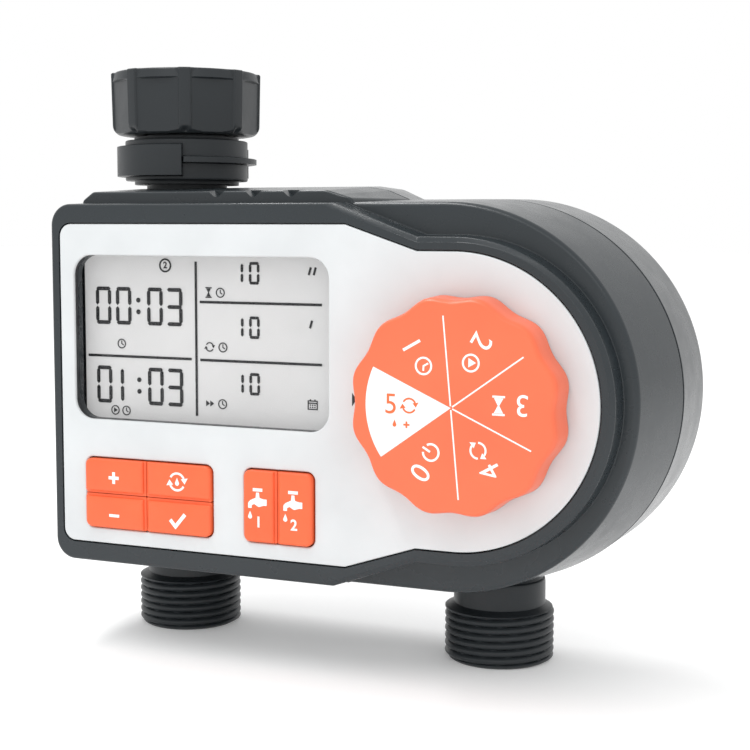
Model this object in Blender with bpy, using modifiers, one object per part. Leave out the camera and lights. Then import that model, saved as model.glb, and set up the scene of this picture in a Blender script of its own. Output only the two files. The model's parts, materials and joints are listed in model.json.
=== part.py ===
"""Two-outlet drip irrigation timer that hangs on a garden tap.

All lengths are in metres. The parts are laid out in a drawing frame: X to the right, Y into the
timer, Z up, with its origin at the centre of the faceplate's round end, in the faceplate's front
plane. The empty timer_frame then moves everything, so that the world origin is the point where the
tap seals on the inlet washer.
"""

import math

import bmesh
import bpy
from mathutils import Matrix, Vector

# ---------------------------------------------------------------- driving dimensions

GAP = 0.0003                 # clearance between neighbours
THREAD_R = 0.01322           # 3/4 inch BSP male thread, outer radius
THREAD_PITCH = 0.001814      # 14 threads to the inch
INLET_X = -0.0865            # axis of the inlet and of outlet 1
OUTLET_X = (INLET_X, 0.0)    # axes of the two outlets
PIPE_Y = 0.034               # depth of every water axis

PLATE_R = 0.0332             # round end of the faceplate
PLATE_LEFT = -0.1025
PLATE_TOP = 0.039
PLATE_THICK = 0.0016
NECK_OUT = (-0.026, PLATE_TOP)    # where the sloping neck leaves the straight edge
NECK_IN = (-0.0087, PLATE_R)      # where it meets the round end
CORNER_R = 0.003             # rounding of the faceplate's left corners and of the rooms behind it
POCKET_Y = PLATE_THICK + GAP
FRONT_WALL_Y = 0.0037        # inner side of the wall behind the faceplate

WALL = 0.0025
SEAM_Y = 0.028
BACK_Y = 0.050
RIM_X, RIM_R = -0.0053, 0.0438    # front edge: centre and radius of its round end
DRUM_R = 0.045               # same at the seam, centred on the drawing origin
REAR_R = 0.0453
RIM_LEFT, SEAM_LEFT, REAR_LEFT = -0.1051, -0.1063, -0.1066
OUTER_CORNER_R = 0.0052      # rounding of the casing's left corners
FRONT_CHAMFER = 0.0006
SHOULDER_Y = 0.0060          # the casing steps back to this depth all round the dial end
LIP = ((-0.001, 0.0020), (0.0002, 0.0020), (0.0006, 0.0032), (SHOULDER_Y, 0.0035))
LIP_SLOPE = 0.362            # rise per length of the lip's edge along the faceplate's neck
LIP_SHIFT = -0.0004          # how far the lip's bends are left of the faceplate's
LEDGE_Y = 0.015              # step that carries the bulkhead seal
LEDGE_INSET = 0.0045
BULKHEAD_Y0, BULKHEAD_Y1 = 0.0165, 0.0182
STRIP_LEFT = -0.1006         # raised strip along the casing's top
STRIP_BASE = 0.0433          # level inside the casing's wall where the strip's sides start
STRIP_FRONT = (0.0062, 0.0468, -0.0334, -0.0272)     # depth, height, start and end of its slope
STRIP_SEAM = (SEAM_Y, 0.0481, -0.0325, -0.0215)
STRIP_BACK = (0.0488, 0.0488, -0.0380, -0.0250)
NOTCHES = (-0.0622, -0.0524, -0.0426)
NOTCH_FLOOR = (0.0005, 0.0454)    # half width and level of each notch's floor
NOTCH_OPENING = (0.0036, 0.0480)  # the same where its sloping sides leave the strip
NOTCH_Y0, NOTCH_Y1 = 0.0050, 0.0098

WINDOW = (-0.0986, -0.0300, -0.0084, 0.0315)      # x0, x1, z0, z1
WINDOW_CORNER = 0.0048
PAD_4 = (-0.0958, -0.0602, -0.0353, -0.0177)
PAD_2 = (-0.0519, -0.0335, -0.0353, -0.0177)
KEY_SPLIT_4 = (-0.0784, -0.0266)                  # x and z of the cross between the four keys
KEY_SPLIT_2 = -0.0430                             # x of the line between the two tap keys
KEY_GAP = 0.0005
KEY_FRONT_Y, KEY_BACK_Y = -0.0012, 0.0048
KEY_FLANGE = 0.0009
KEY_CORNER = 0.0006
PAD_CORNER = 0.0020

DIAL_X = 0.0028
DIAL_LOBES, DIAL_WAVE = 12, 0.00055
DIAL_FRONT_Y, DIAL_BACK_Y = -0.0085, -0.0004
DIAL_PROFILE = ((0.0, 0.0228), (0.0006, 0.0233), (0.0014, 0.0235))   # depth behind its face, radius
DIAL_BACK_R = 0.0238
SHAFT_R = 0.0030
SHAFT_Y0, SHAFT_Y1 = -0.0066, 0.0098
BOARD_Y0, BOARD_Y1 = 0.0120, 0.0136
BOARD = (-0.0985, 0.0185, -0.0310, 0.0310)
BOARD_SCREWS = ((-0.0950, -0.0136), (-0.0235, 0.0270), (0.0050, -0.0270))
BOARD_BOSS_R, BOARD_HOLE_R = 0.0026, 0.0013
COVER_SCREWS = (
    (-0.1018, 0.0394), (-0.1018, -0.0394), (-0.0440, -0.0394),
    (-0.0080, 0.0394), (0.0272, 0.0282), (0.0272, -0.0282),
)
COVER_BOSS_R, COVER_BOSS_Y = 0.0034, 0.0195
COVER_HOLE_R, COVER_HEAD_HOLE_R = 0.0017, 0.0026
SCREW_HEAD_Y = 0.0443        # underside of each cover screw's head

STEM_R = 0.0103
STEM_BORE_R = 0.0080
FLANGE_R = 0.0130            # stem's upper flange, which holds the nut and carries the washer
SEAT_Z = 0.0684              # top of the inlet washer, where the tap seals
FLANGE_Z0, FLANGE_Z1 = SEAT_Z - 0.0043, SEAT_Z - 0.0023
NUT_Z0, NUT_Z1, NUT_R = 0.0616, 0.0775, 0.0191
NUT_EDGE = math.radians(4.6)      # half the angle taken by each of the nut's eight ribs
COLLAR_Z0, COLLAR_Z1, COLLAR_R = 0.0501, 0.0603, 0.0157
COLLAR_STEP_R, COLLAR_STEP = 0.0134, 0.0009       # narrower rings above and below the collar
# each grip on the collar: reach, z0, z1, start and end in degrees about Z
GRIPS = (
    (0.0178, 0.0510, 0.0590, -166, -63),
    (0.0180, 0.0542, 0.0560, -65, 50),
    (0.0178, 0.0510, 0.0590, 54, 135),
    (0.0180, 0.0542, 0.0560, 133, 190),
)
FACING = math.radians(-60.6)      # direction, about Z, of one of the nut's ribs
OUTLET_Z0, OUTLET_Z1 = -0.0656, -0.0426
OUTLET_NECK_R = 0.0111
OUTLET_UPPER_R = 0.0104      # where the outlet passes the casing
OUTLET_SHOULDER_Z = -0.0457
OUTLET_BORE_R = 0.0085
THREAD_CRESTS = 7
THREAD_DEPTH = 0.0010
THREAD_START = 0.0004        # from the outlet's lower end to the thread's first root

CROSS_Z = -0.004             # level of the pipe that joins the two valves
VALVE_Z = -0.024
VALVE_R = 0.0128
CHAMBER_FACE = 0.0147        # distance of each valve's face from its outlet axis
COIL_R = 0.0108
LEAD_REACH, LEAD_Z = 0.034, -0.0115   # where each coil's lead passes the bulkhead
LEAD_R = 0.0008

CELL_R, CELL_LENGTH = 0.0071, 0.0490
CELL_X, CELL_Y, CELL_Z = -0.0420, 0.0378, (0.0175, 0.0327)
TRAY = (-0.0705, -0.0135, 0.0088, 0.0414)
TRAY_Y0, TRAY_Y1 = 0.0288, 0.0470
DOOR = (-0.0720, -0.0120, 0.0088, 0.0420)
DOOR_Y0 = 0.0486
HINGE_Y, HINGE_Z = 0.0482, 0.0064
HINGE_X0, HINGE_X1 = -0.0570, -0.0270
PIN_R = 0.0008

ROUND = 24                   # sides of a large round piece
SMALL = 12                   # sides of a screw or pin

CHARCOAL = (0.055, 0.062, 0.068)
WHITE = (0.86, 0.87, 0.87)
ORANGE = (0.95, 0.21, 0.07)
RUBBER = (0.02, 0.02, 0.02)
BLACK_PLASTIC = (0.12, 0.12, 0.13)
STEEL = ((0.65, 0.65, 0.67), 0.3, 1.0)      # colour, roughness, metallic

# ---------------------------------------------------------------- scene, frame and materials


def clear_scene():
    for obj in list(bpy.data.objects):
        bpy.data.objects.remove(obj, do_unlink=True)


def new_collection(name):
    collection = bpy.data.collections.new(name)
    bpy.context.scene.collection.children.link(collection)
    return collection


def plain_material(name, colour, roughness, metallic=0.0):
    material = bpy.data.materials.new(name)
    material.use_nodes = True
    shader = material.node_tree.nodes["Principled BSDF"]
    shader.inputs["Base Color"].default_value = (*colour, 1.0)
    shader.inputs["Roughness"].default_value = roughness
    shader.inputs["Metallic"].default_value = metallic
    return material


clear_scene()
PARTS = new_collection("drip_irrigation_timer")
CUTTERS = new_collection("cutters")
FRAME = bpy.data.objects.new("timer_frame", None)
FRAME.location = (-INLET_X, -PIPE_Y, -SEAT_Z)
PARTS.objects.link(FRAME)


def add_part(name, mesh, look, location=(0, 0, 0), rotation=(0, 0, 0)):
    """A named piece of the timer. look is (colour, roughness) or (colour, roughness, metallic)."""
    mesh.materials.clear()
    mesh.materials.append(plain_material(name + "_material", *look))
    mesh.shade_smooth()
    mesh.set_sharp_from_angle(angle=math.radians(30))
    obj = bpy.data.objects.new(name, mesh)
    obj.location = location
    obj.rotation_euler = rotation
    obj.parent = FRAME
    PARTS.objects.link(obj)
    return obj


def add_cutter(mesh, location=(0, 0, 0), rotation=(0, 0, 0)):
    cutter = bpy.data.objects.new("cutter", mesh)
    cutter.location = location
    cutter.rotation_euler = rotation
    cutter.parent = FRAME
    cutter.hide_render = True
    cutter.display_type = "WIRE"
    CUTTERS.objects.link(cutter)
    return cutter


def apply_boolean(obj, operation, mesh, location, rotation):
    modifier = obj.modifiers.new(operation.lower(), "BOOLEAN")
    modifier.operation = operation
    modifier.solver = "EXACT"
    modifier.object = add_cutter(mesh, location, rotation)


def cut(obj, mesh, location=(0, 0, 0), rotation=(0, 0, 0)):
    apply_boolean(obj, "DIFFERENCE", mesh, location, rotation)


def join(obj, mesh, location=(0, 0, 0), rotation=(0, 0, 0)):
    apply_boolean(obj, "UNION", mesh, location, rotation)


# ---------------------------------------------------------------- outlines, in the X-Z plane


def arc(centre, radius, start, end, steps):
    """Points of an arc, angles in degrees."""
    points = []
    for i in range(steps + 1):
        angle = math.radians(start + (end - start) * i / steps)
        points.append((centre[0] + radius * math.cos(angle), centre[1] + radius * math.sin(angle)))
    return points


def rectangle(box, radius, steps=3, grow=0.0):
    """Box (x0, x1, z0, z1) with rounded corners.

    radius is one number, or four: top right, bottom right, bottom left, top left.
    """
    x0, x1, z0, z1 = box[0] - grow, box[1] + grow, box[2] - grow, box[3] + grow
    radii = radius if isinstance(radius, tuple) else (radius,) * 4
    corners = ((x1, z1, -1, -1), (x1, z0, -1, 1), (x0, z0, 1, 1), (x0, z1, 1, -1))
    points = []
    for number, (r, (x, z, side, up)) in enumerate(zip(radii, corners)):
        start = 90 - 90 * number
        points += arc((x + side * r, z + up * r), r, start, start - 90, steps)
    return points


def stadium(centre_x, radius, left, corner, inset=0.0, steps=26):
    """Casing outline: a straight-sided box whose right-hand end is half a circle."""
    half = radius - inset
    return (
        arc((centre_x, 0), half, 90, -90, steps)
        + arc((left + inset + corner, -half + corner), corner, -90, -180, 3)
        + arc((left + inset + corner, half - corner), corner, -180, -270, 3)
    )


def front_section(y, inset=0.0, corner=OUTER_CORNER_R):
    """Outline of the front housing's tapered side at depth y."""
    t = y / SEAM_Y
    left = RIM_LEFT + (SEAM_LEFT - RIM_LEFT) * t
    return stadium(RIM_X * (1 - t), RIM_R + (DRUM_R - RIM_R) * t, left, corner, inset)


def rear_section(inset=0.0, corner=OUTER_CORNER_R):
    return stadium(0, REAR_R, REAR_LEFT, corner, inset)


def keyhole(grow=0.0, corner=CORNER_R, steps=26):
    """Faceplate outline: a box that narrows through a sloping neck to a round end."""
    slope = math.atan2(NECK_OUT[1] - NECK_IN[1], NECK_IN[0] - NECK_OUT[0])
    shift = grow * math.tan(slope / 2)
    top = PLATE_TOP + grow
    upper = [(NECK_OUT[0] + shift, top), (NECK_IN[0] + shift, PLATE_R + grow)]
    lower = [(x, -z) for x, z in reversed(upper)]
    left = PLATE_LEFT - grow + corner
    return (
        upper
        + arc((0, 0), PLATE_R + grow, 90, -90, steps)
        + lower
        + arc((left, -top + corner), corner, -90, -180, 3)
        + arc((left, top - corner), corner, -180, -270, 3)
    )


def beyond_lip(reach, steps=26):
    """Outline of all that lies outside a lip round the dial end, reach wider than the faceplate."""
    level, far = 0.050, 0.060
    bend = NECK_IN[0] + LIP_SHIFT + reach * math.tan(math.atan(LIP_SLOPE) / 2)
    radius = PLATE_R + reach
    crest = [(bend - (level - radius) / LIP_SLOPE, level), (bend, radius)]
    return (
        crest
        + arc((0, 0), radius, 90, -90, steps)
        + [(x, -z) for x, z in reversed(crest)]
        + [(far, -level), (far, level)]
    )


# ---------------------------------------------------------------- solids from outlines


def flat_solid(outlines, thickness):
    """Mesh of one or more closed outlines filled and made thick, holes included."""
    curve = bpy.data.curves.new("outline", "CURVE")
    curve.dimensions = "2D"
    curve.fill_mode = "BOTH"
    curve.extrude = thickness / 2
    for outline in outlines:
        spline = curve.splines.new("POLY")
        spline.points.add(len(outline) - 1)
        for point, (x, y) in zip(spline.points, outline):
            point.co = (x, y, 0, 1)
        spline.use_cyclic_u = True
    guide = bpy.data.objects.new("outline", curve)
    CUTTERS.objects.link(guide)
    evaluated = guide.evaluated_get(bpy.context.evaluated_depsgraph_get())
    mesh = bpy.data.meshes.new_from_object(evaluated)
    bpy.data.objects.remove(guide)
    weld(mesh)
    return mesh


def weld(mesh):
    bm = bmesh.new()
    bm.from_mesh(mesh)
    bmesh.ops.remove_doubles(bm, verts=bm.verts, dist=1e-6)
    bmesh.ops.dissolve_degenerate(bm, edges=bm.edges, dist=1e-7)
    bmesh.ops.recalc_face_normals(bm, faces=bm.faces)
    bm.to_mesh(mesh)
    bm.free()


UPRIGHT = (math.pi / 2, 0, 0)    # turns a flat outline's X-Y plane into the drawing's X-Z plane
INWARD = (-math.pi / 2, 0, 0)    # turns a turned piece's height into the drawing's depth


def plate(name, outlines, y0, y1, look):
    """A plate that faces the front, between depths y0 and y1."""
    mesh = flat_solid(outlines, y1 - y0)
    return add_part(name, mesh, look, (0, (y0 + y1) / 2, 0), UPRIGHT)


def cut_plate(obj, outlines, y0, y1):
    cut(obj, flat_solid(outlines, y1 - y0), (0, (y0 + y1) / 2, 0), UPRIGHT)


def join_plate(obj, outlines, y0, y1):
    join(obj, flat_solid(outlines, y1 - y0), (0, (y0 + y1) / 2, 0), UPRIGHT)


def loft(sections):
    """Closed solid through outlines of equal point count, each at its own depth."""
    bm = bmesh.new()
    rings = [[bm.verts.new((x, y, z)) for x, z in outline] for y, outline in sections]
    count = len(rings[0])
    for near, far in zip(rings, rings[1:]):
        for i in range(count):
            j = (i + 1) % count
            bm.faces.new((near[i], near[j], far[j], far[i]))
    bmesh.ops.triangulate(bm, faces=bm.faces)      # sides of a taper aren't exactly flat
    bm.faces.new(rings[0])
    bm.faces.new(reversed(rings[-1]))
    bmesh.ops.recalc_face_normals(bm, faces=bm.faces)
    mesh = bpy.data.meshes.new("loft")
    bm.to_mesh(mesh)
    bm.free()
    return mesh


def stack(sections):
    """Closed solid through level outlines of equal point count, each at its own height."""
    mesh = loft([(height, [(x, -y) for x, y in outline]) for height, outline in sections])
    mesh.transform(Matrix.Rotation(math.pi / 2, 4, "X"))
    return mesh


def box_mesh(x0, x1, y0, y1, z0, z1):
    bm = bmesh.new()
    bmesh.ops.create_cube(bm, size=1.0)
    bmesh.ops.scale(bm, vec=(x1 - x0, y1 - y0, z1 - z0), verts=bm.verts)
    bmesh.ops.translate(bm, vec=((x0 + x1) / 2, (y0 + y1) / 2, (z0 + z1) / 2), verts=bm.verts)
    mesh = bpy.data.meshes.new("box")
    bm.to_mesh(mesh)
    bm.free()
    return mesh


def rod_mesh(start, end, radius, sides=ROUND):
    """A plain cylinder from one point to another."""
    start, end = Vector(start), Vector(end)
    bm = bmesh.new()
    bmesh.ops.create_cone(
        bm, cap_ends=True, segments=sides, radius1=radius, radius2=radius, depth=(end - start).length
    )
    turn = (end - start).to_track_quat("Z", "Y").to_matrix()
    bmesh.ops.rotate(bm, cent=(0, 0, 0), matrix=turn, verts=bm.verts)
    bmesh.ops.translate(bm, vec=(start + end) / 2, verts=bm.verts)
    mesh = bpy.data.meshes.new("rod")
    bm.to_mesh(mesh)
    bm.free()
    return mesh


def turned(name, profile, look, location, rotation=(0, 0, 0), steps=ROUND):
    """A turned piece. profile is (radius, height) points, outer side first, from the top down.

    A profile that starts and ends on the axis makes a solid, any other one closes into a ring.
    """
    mesh = bpy.data.meshes.new(name)
    points = [(r, 0, h) for r, h in profile]
    edges = [(i, i + 1) for i in range(len(points) - 1)]
    if profile[0][0] > 0:
        edges.append((len(points) - 1, 0))
    mesh.from_pydata(points, edges, [])
    obj = add_part(name, mesh, look, location, rotation)
    screw = obj.modifiers.new("turn", "SCREW")
    screw.axis = "Z"
    screw.steps = steps
    screw.render_steps = steps
    screw.use_merge_vertices = True
    screw.merge_threshold = 0.00001
    screw.use_smooth_shade = True
    return obj


def ring(r0, r1, z0, z1):
    """Profile of a plain ring."""
    return [(r1, z1), (r1, z0), (r0, z0), (r0, z1)]


def wire(name, points, radius, look, resolution=2):
    """A bent wire through points, as a mesh with closed ends."""
    curve = bpy.data.curves.new(name, "CURVE")
    curve.dimensions = "3D"
    curve.bevel_depth = radius
    curve.bevel_resolution = resolution
    curve.use_fill_caps = True
    spline = curve.splines.new("POLY")
    spline.points.add(len(points) - 1)
    for point, place in zip(spline.points, points):
        point.co = (*place, 1)
    guide = bpy.data.objects.new(name, curve)
    CUTTERS.objects.link(guide)
    evaluated = guide.evaluated_get(bpy.context.evaluated_depsgraph_get())
    mesh = bpy.data.meshes.new_from_object(evaluated)
    bpy.data.objects.remove(guide)
    weld(mesh)
    return add_part(name, mesh, look)


def coil_points(start, axis, radius, length, turns, per_turn=9):
    """Points of a compression spring that starts at start and runs along axis (X only)."""
    points = []
    total = int(turns * per_turn)
    for i in range(total + 1):
        angle = 2 * math.pi * i / per_turn
        along = axis * length * i / total
        points.append(
            (start[0] + along, start[1] + radius * math.cos(angle), start[2] + radius * math.sin(angle))
        )
    return points


# ---------------------------------------------------------------- casing


def cut_pipe_holes(obj):
    """Round holes where the inlet stem and the two outlets leave the casing."""
    cut(obj, rod_mesh((INLET_X, PIPE_Y, 0.040), (INLET_X, PIPE_Y, 0.052), STEM_R + GAP))
    for x in OUTLET_X:
        cut(obj, rod_mesh((x, PIPE_Y, -0.050), (x, PIPE_Y, -0.040), OUTLET_UPPER_R + GAP))


def raised_strip(*sections):
    """Raised part of the casing's top, which falls away at its right-hand end.

    Each section is its depth, its top's height, and where the top's slope starts and ends.
    """
    return loft([
        (y, [
            (STRIP_LEFT, STRIP_BASE), (STRIP_LEFT + 0.0036, top), (slope, top),
            ((slope + end) / 2, top - 0.0009), (end, 0.0450), (end + 0.0010, STRIP_BASE),
        ])
        for y, top, slope, end in sections
    ])


def notch(x):
    """Outline of the notch in the raised strip at x."""
    sides = (NOTCH_OPENING, NOTCH_FLOOR)
    return [(x - half, z) for half, z in sides] + [(x + half, z) for half, z in reversed(sides)]


def trim_at_seam(obj, y0, y1):
    """Cuts away everything between two depths, which leaves one clean plane at the seam."""
    cut(obj, box_mesh(-0.120, 0.060, y0, y1, -0.060, 0.060))


def cut_front_openings(housing):
    """Openings in the wall behind the faceplate: display, two pads of keys and the dial's shaft."""
    near, far = 0.001, 0.005
    cut_plate(housing, [rectangle(WINDOW, WINDOW_CORNER, 4)], near, far)
    for pad in (PAD_4, PAD_2):
        cut_plate(housing, [rectangle(pad, PAD_CORNER, grow=GAP)], near, far)
    cut(housing, rod_mesh((DIAL_X, near, 0), (DIAL_X, far, 0), SHAFT_R + 2 * GAP, 20))


def build_front_housing():
    beyond = SEAM_Y + 0.002
    room_y = SHOULDER_Y + WALL        # front of the wide room behind the faceplate's own
    housing = add_part("front_housing", loft([
        (0.0, front_section(0, FRONT_CHAMFER)),
        (FRONT_CHAMFER, front_section(0)),
        (beyond, front_section(beyond)),
    ]), (CHARCOAL, 0.42))
    join(housing, raised_strip(STRIP_FRONT, (beyond, *STRIP_SEAM[1:])))
    for x in NOTCHES:
        cut_plate(housing, [notch(x)], NOTCH_Y0, NOTCH_Y1)
    cut(housing, loft([(y, front_section(y, WALL, CORNER_R)) for y in (LEDGE_Y, beyond + 0.001)]))
    cut_plate(housing, [front_section(0, LEDGE_INSET, CORNER_R)], room_y, LEDGE_Y + 0.001)
    cut_plate(housing, [keyhole(2 * GAP)], FRONT_WALL_Y, room_y + GAP)
    for x, z in BOARD_SCREWS:
        join(housing, rod_mesh((x, 0.0030, z), (x, BOARD_Y0 - GAP, z), BOARD_BOSS_R, SMALL))
        cut(housing, rod_mesh((x, 0.0060, z), (x, BOARD_Y0 + 0.001, z), BOARD_HOLE_R, SMALL))
    for x, z in COVER_SCREWS:
        join(housing, rod_mesh((x, COVER_BOSS_Y, z), (x, SEAM_Y + 0.001, z), COVER_BOSS_R, SMALL))
        cut(housing, rod_mesh((x, COVER_BOSS_Y + 0.001, z), (x, 0.0310, z), COVER_HOLE_R, SMALL))
    trim_at_seam(housing, SEAM_Y - GAP / 2, 0.060)
    cut_front_openings(housing)
    cut_plate(housing, [keyhole(GAP)], -0.001, POCKET_Y)
    cut(housing, loft([(y, beyond_lip(reach)) for y, reach in LIP]))
    cut_pipe_holes(housing)


def cut_door_seat(cover):
    """Opening for the batteries, the recess round it that takes the door, and the hinge's seat."""
    outside = BACK_Y + 0.001
    cut_plate(cover, [rectangle(DOOR, 0.0020, 2, grow=-0.0024)], 0.0460, outside)
    recess = (DOOR[0] - 0.0004, DOOR[1] + 0.0004, 0.0076, DOOR[3] + 0.0004)
    cut_plate(cover, [rectangle(recess, 0.0020, 2)], DOOR_Y0 - GAP, outside)
    x0, x1 = HINGE_X0 - 0.0004, HINGE_X1 + 0.0004
    cut(cover, box_mesh(x0, x1, HINGE_Y - 0.0019, outside, HINGE_Z - 0.0025, HINGE_Z + 0.0017))
    x0, x1 = HINGE_X0 - 0.0055, HINGE_X1 + 0.0055
    cut(cover, rod_mesh((x0, HINGE_Y, HINGE_Z), (x1, HINGE_Y, HINGE_Z), PIN_R + GAP, SMALL))


def build_rear_cover():
    before = SEAM_Y - 0.002
    cover = add_part("rear_cover", loft([
        (before, front_section(SEAM_Y)),
        (BACK_Y - 0.0020, rear_section()),
        (BACK_Y - 0.0006, rear_section(0.0006)),
        (BACK_Y, rear_section(0.0020)),
    ]), (CHARCOAL, 0.42))
    join(cover, raised_strip((before, *STRIP_SEAM[1:]), STRIP_BACK))
    cut(cover, loft([
        (before - 0.001, front_section(SEAM_Y, WALL, CORNER_R)),
        (BACK_Y - WALL, rear_section(WALL, CORNER_R)),
    ]))
    for x, z in COVER_SCREWS:
        join(cover, rod_mesh((x, SEAM_Y - 0.001, z), (x, 0.0484, z), COVER_BOSS_R + 0.0002, SMALL))
    join(cover, box_mesh(HINGE_X0 - 0.007, HINGE_X1 + 0.007, 0.0450, 0.0480, 0.0032, 0.0085))
    for x, z in COVER_SCREWS:
        cut(cover, rod_mesh((x, 0.0250, z), (x, 0.0450, z), COVER_HOLE_R, SMALL))
        cut(cover, rod_mesh((x, SCREW_HEAD_Y - GAP, z), (x, 0.0510, z), COVER_HEAD_HOLE_R, SMALL))
    trim_at_seam(cover, 0.010, SEAM_Y + GAP / 2)
    cut_door_seat(cover)
    cut_pipe_holes(cover)


def build_faceplate():
    hole = arc((DIAL_X, 0), 0.0060, 0, 345, 23)
    pads = [rectangle(PAD_4, PAD_CORNER), rectangle(PAD_2, PAD_CORNER)]
    outlines = [keyhole(), rectangle(WINDOW, WINDOW_CORNER, 4), *pads, hole]
    plate("faceplate", outlines, 0.0, PLATE_THICK, (WHITE, 0.35))


def build_bulkhead():
    outer = front_section(LEDGE_Y, WALL + 0.0004, CORNER_R)
    inner = front_section(LEDGE_Y, WALL + 0.0018, 0.002)
    plate("bulkhead_seal", [outer, inner], LEDGE_Y + GAP, BULKHEAD_Y0 - GAP, (RUBBER, 0.8))
    bulkhead = plate("bulkhead_plate", [outer], BULKHEAD_Y0, BULKHEAD_Y1, ((0.10, 0.10, 0.11), 0.6))
    for sign, x in zip((1, -1), OUTLET_X):
        column = x + sign * LEAD_REACH
        hole = rod_mesh((column, LEDGE_Y, LEAD_Z), (column, BULKHEAD_Y1 + 0.001, LEAD_Z), 2 * LEAD_R, 8)
        cut(bulkhead, hole)


# ---------------------------------------------------------------- display, keys and board


def build_display():
    window = rectangle(WINDOW, 0.003, grow=0.0020)
    plate("lcd_window", [window], 0.0040, 0.0054, ((0.80, 0.83, 0.84), 0.05))
    module = rectangle(WINDOW, 0.001, 1, grow=0.0008)
    plate("lcd_module", [module], 0.0058, 0.0116, ((0.62, 0.64, 0.62), 0.3))


def build_key(name, box, pad):
    """One key: a cap through the faceplate, rounded at its pad's corners, and a flange behind it."""
    x0, x1, z0, z1 = box
    slit = KEY_GAP / 2
    centre = ((x0 + x1) / 2, KEY_FRONT_Y, (z0 + z1) / 2)
    half_x, half_z = (x1 - x0) / 2 - slit, (z1 - z0) / 2 - slit
    at_left, at_right, at_bottom, at_top = (a == b for a, b in zip(box, pad))
    corners = ((at_right, at_top), (at_right, at_bottom), (at_left, at_bottom), (at_left, at_top))
    radii = tuple(PAD_CORNER - slit if side and level else KEY_CORNER for side, level in corners)
    local = (-half_x, half_x, -half_z, half_z)
    outline = rectangle(local, radii)
    cap = loft([
        (0.0, rectangle(local, radii, grow=-0.0004)),
        (0.0005, outline),
        (FRONT_WALL_Y + 2 * GAP - KEY_FRONT_Y, outline),
    ])
    key = add_part(name, cap, (ORANGE, 0.5), centre)
    left = x0 - KEY_FLANGE if at_left else x0 + slit
    right = x1 + KEY_FLANGE if at_right else x1 - slit
    low = z0 - KEY_FLANGE if at_bottom else z0 + slit
    high = z1 + KEY_FLANGE if at_top else z1 - slit
    join(key, box_mesh(left, right, FRONT_WALL_Y + GAP, KEY_BACK_Y, low, high))
    return centre


def build_keys():
    split_x, split_z = KEY_SPLIT_4
    x0, x1, z0, z1 = PAD_4
    boxes = {
        "key_plus": (x0, split_x, split_z, z1),
        "key_minus": (x0, split_x, z0, split_z),
        "key_cycle": (split_x, x1, split_z, z1),
        "key_confirm": (split_x, x1, z0, split_z),
        "key_tap_1": (PAD_2[0], KEY_SPLIT_2, PAD_2[2], PAD_2[3]),
        "key_tap_2": (KEY_SPLIT_2, PAD_2[1], PAD_2[2], PAD_2[3]),
    }
    outline = rectangle((-0.0975, -0.0315, -0.0362, -0.0165), 0.002, 2)
    mat = plate("keypad_mat", [outline], 0.0062, 0.0072, ((0.80, 0.20, 0.08), 0.7))
    for name, box in boxes.items():
        x, _, z = build_key(name, box, PAD_2 if "tap" in name else PAD_4)
        join(mat, rod_mesh((x, 0.0065, z), (x, BOARD_Y0 - 0.0005, z), 0.0020, 10))


def build_board():
    outline = rectangle(BOARD, 0.002, 1)
    board = plate("main_board", [outline], BOARD_Y0, BOARD_Y1, ((0.03, 0.20, 0.10), 0.5))
    head, shank, length = 0.0020, 0.0010, 0.0060
    profile = [(0, 0.0018), (head, 0.0014), (head, 0), (shank, 0), (shank, -length), (0, -length)]
    for number, (x, z) in enumerate(BOARD_SCREWS, 1):
        cut(board, rod_mesh((x, BOARD_Y0 - 0.001, z), (x, BOARD_Y1 + 0.001, z), BOARD_HOLE_R, SMALL))
        place = (x, BOARD_Y1 + GAP, z)
        turned(f"board_screw_{number}", profile, STEEL, place, INWARD, 10)


# ---------------------------------------------------------------- dial


def dial_outline(mean, steps=72):
    """Twelve soft lobes, with a valley at the top."""
    points = []
    for i in range(steps):
        angle = -2 * math.pi * i / steps
        radius = mean - DIAL_WAVE * math.cos(DIAL_LOBES * angle)
        points.append((radius * math.cos(angle), radius * math.sin(angle)))
    return points


def build_dial():
    sections = [*DIAL_PROFILE, (DIAL_BACK_Y - DIAL_FRONT_Y, DIAL_BACK_R)]
    mesh = loft([(depth, dial_outline(radius)) for depth, radius in sections])
    dial = add_part("dial_knob", mesh, (ORANGE, 0.45), (DIAL_X, DIAL_FRONT_Y, 0))
    socket = rod_mesh((DIAL_X, SHAFT_Y0 - GAP, 0), (DIAL_X, 0.0010, 0), SHAFT_R + GAP, 20)
    cut(dial, socket)
    shaft = rod_mesh((0, 0, 0), (0, SHAFT_Y1 - SHAFT_Y0, 0), SHAFT_R, 20)
    add_part("dial_shaft", shaft, (WHITE, 0.4), (DIAL_X, SHAFT_Y0, 0))
    seal = ring(SHAFT_R + GAP, 0.0054, 0.0, 0.0013)
    turned("dial_seal", seal, (RUBBER, 0.7), (DIAL_X, GAP, 0), INWARD, 20)
    half = 0.0075
    outline = rectangle((DIAL_X - half, DIAL_X + half, -half, half), 0.001, 1)
    switch = plate("rotary_switch", [outline], 0.0050, BOARD_Y0 - GAP, (BLACK_PLASTIC, 0.5))
    cut(switch, rod_mesh((DIAL_X, 0.0040, 0), (DIAL_X, SHAFT_Y1 + 0.0004, 0), SHAFT_R + GAP, 20))


# ---------------------------------------------------------------- batteries and their door


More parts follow.
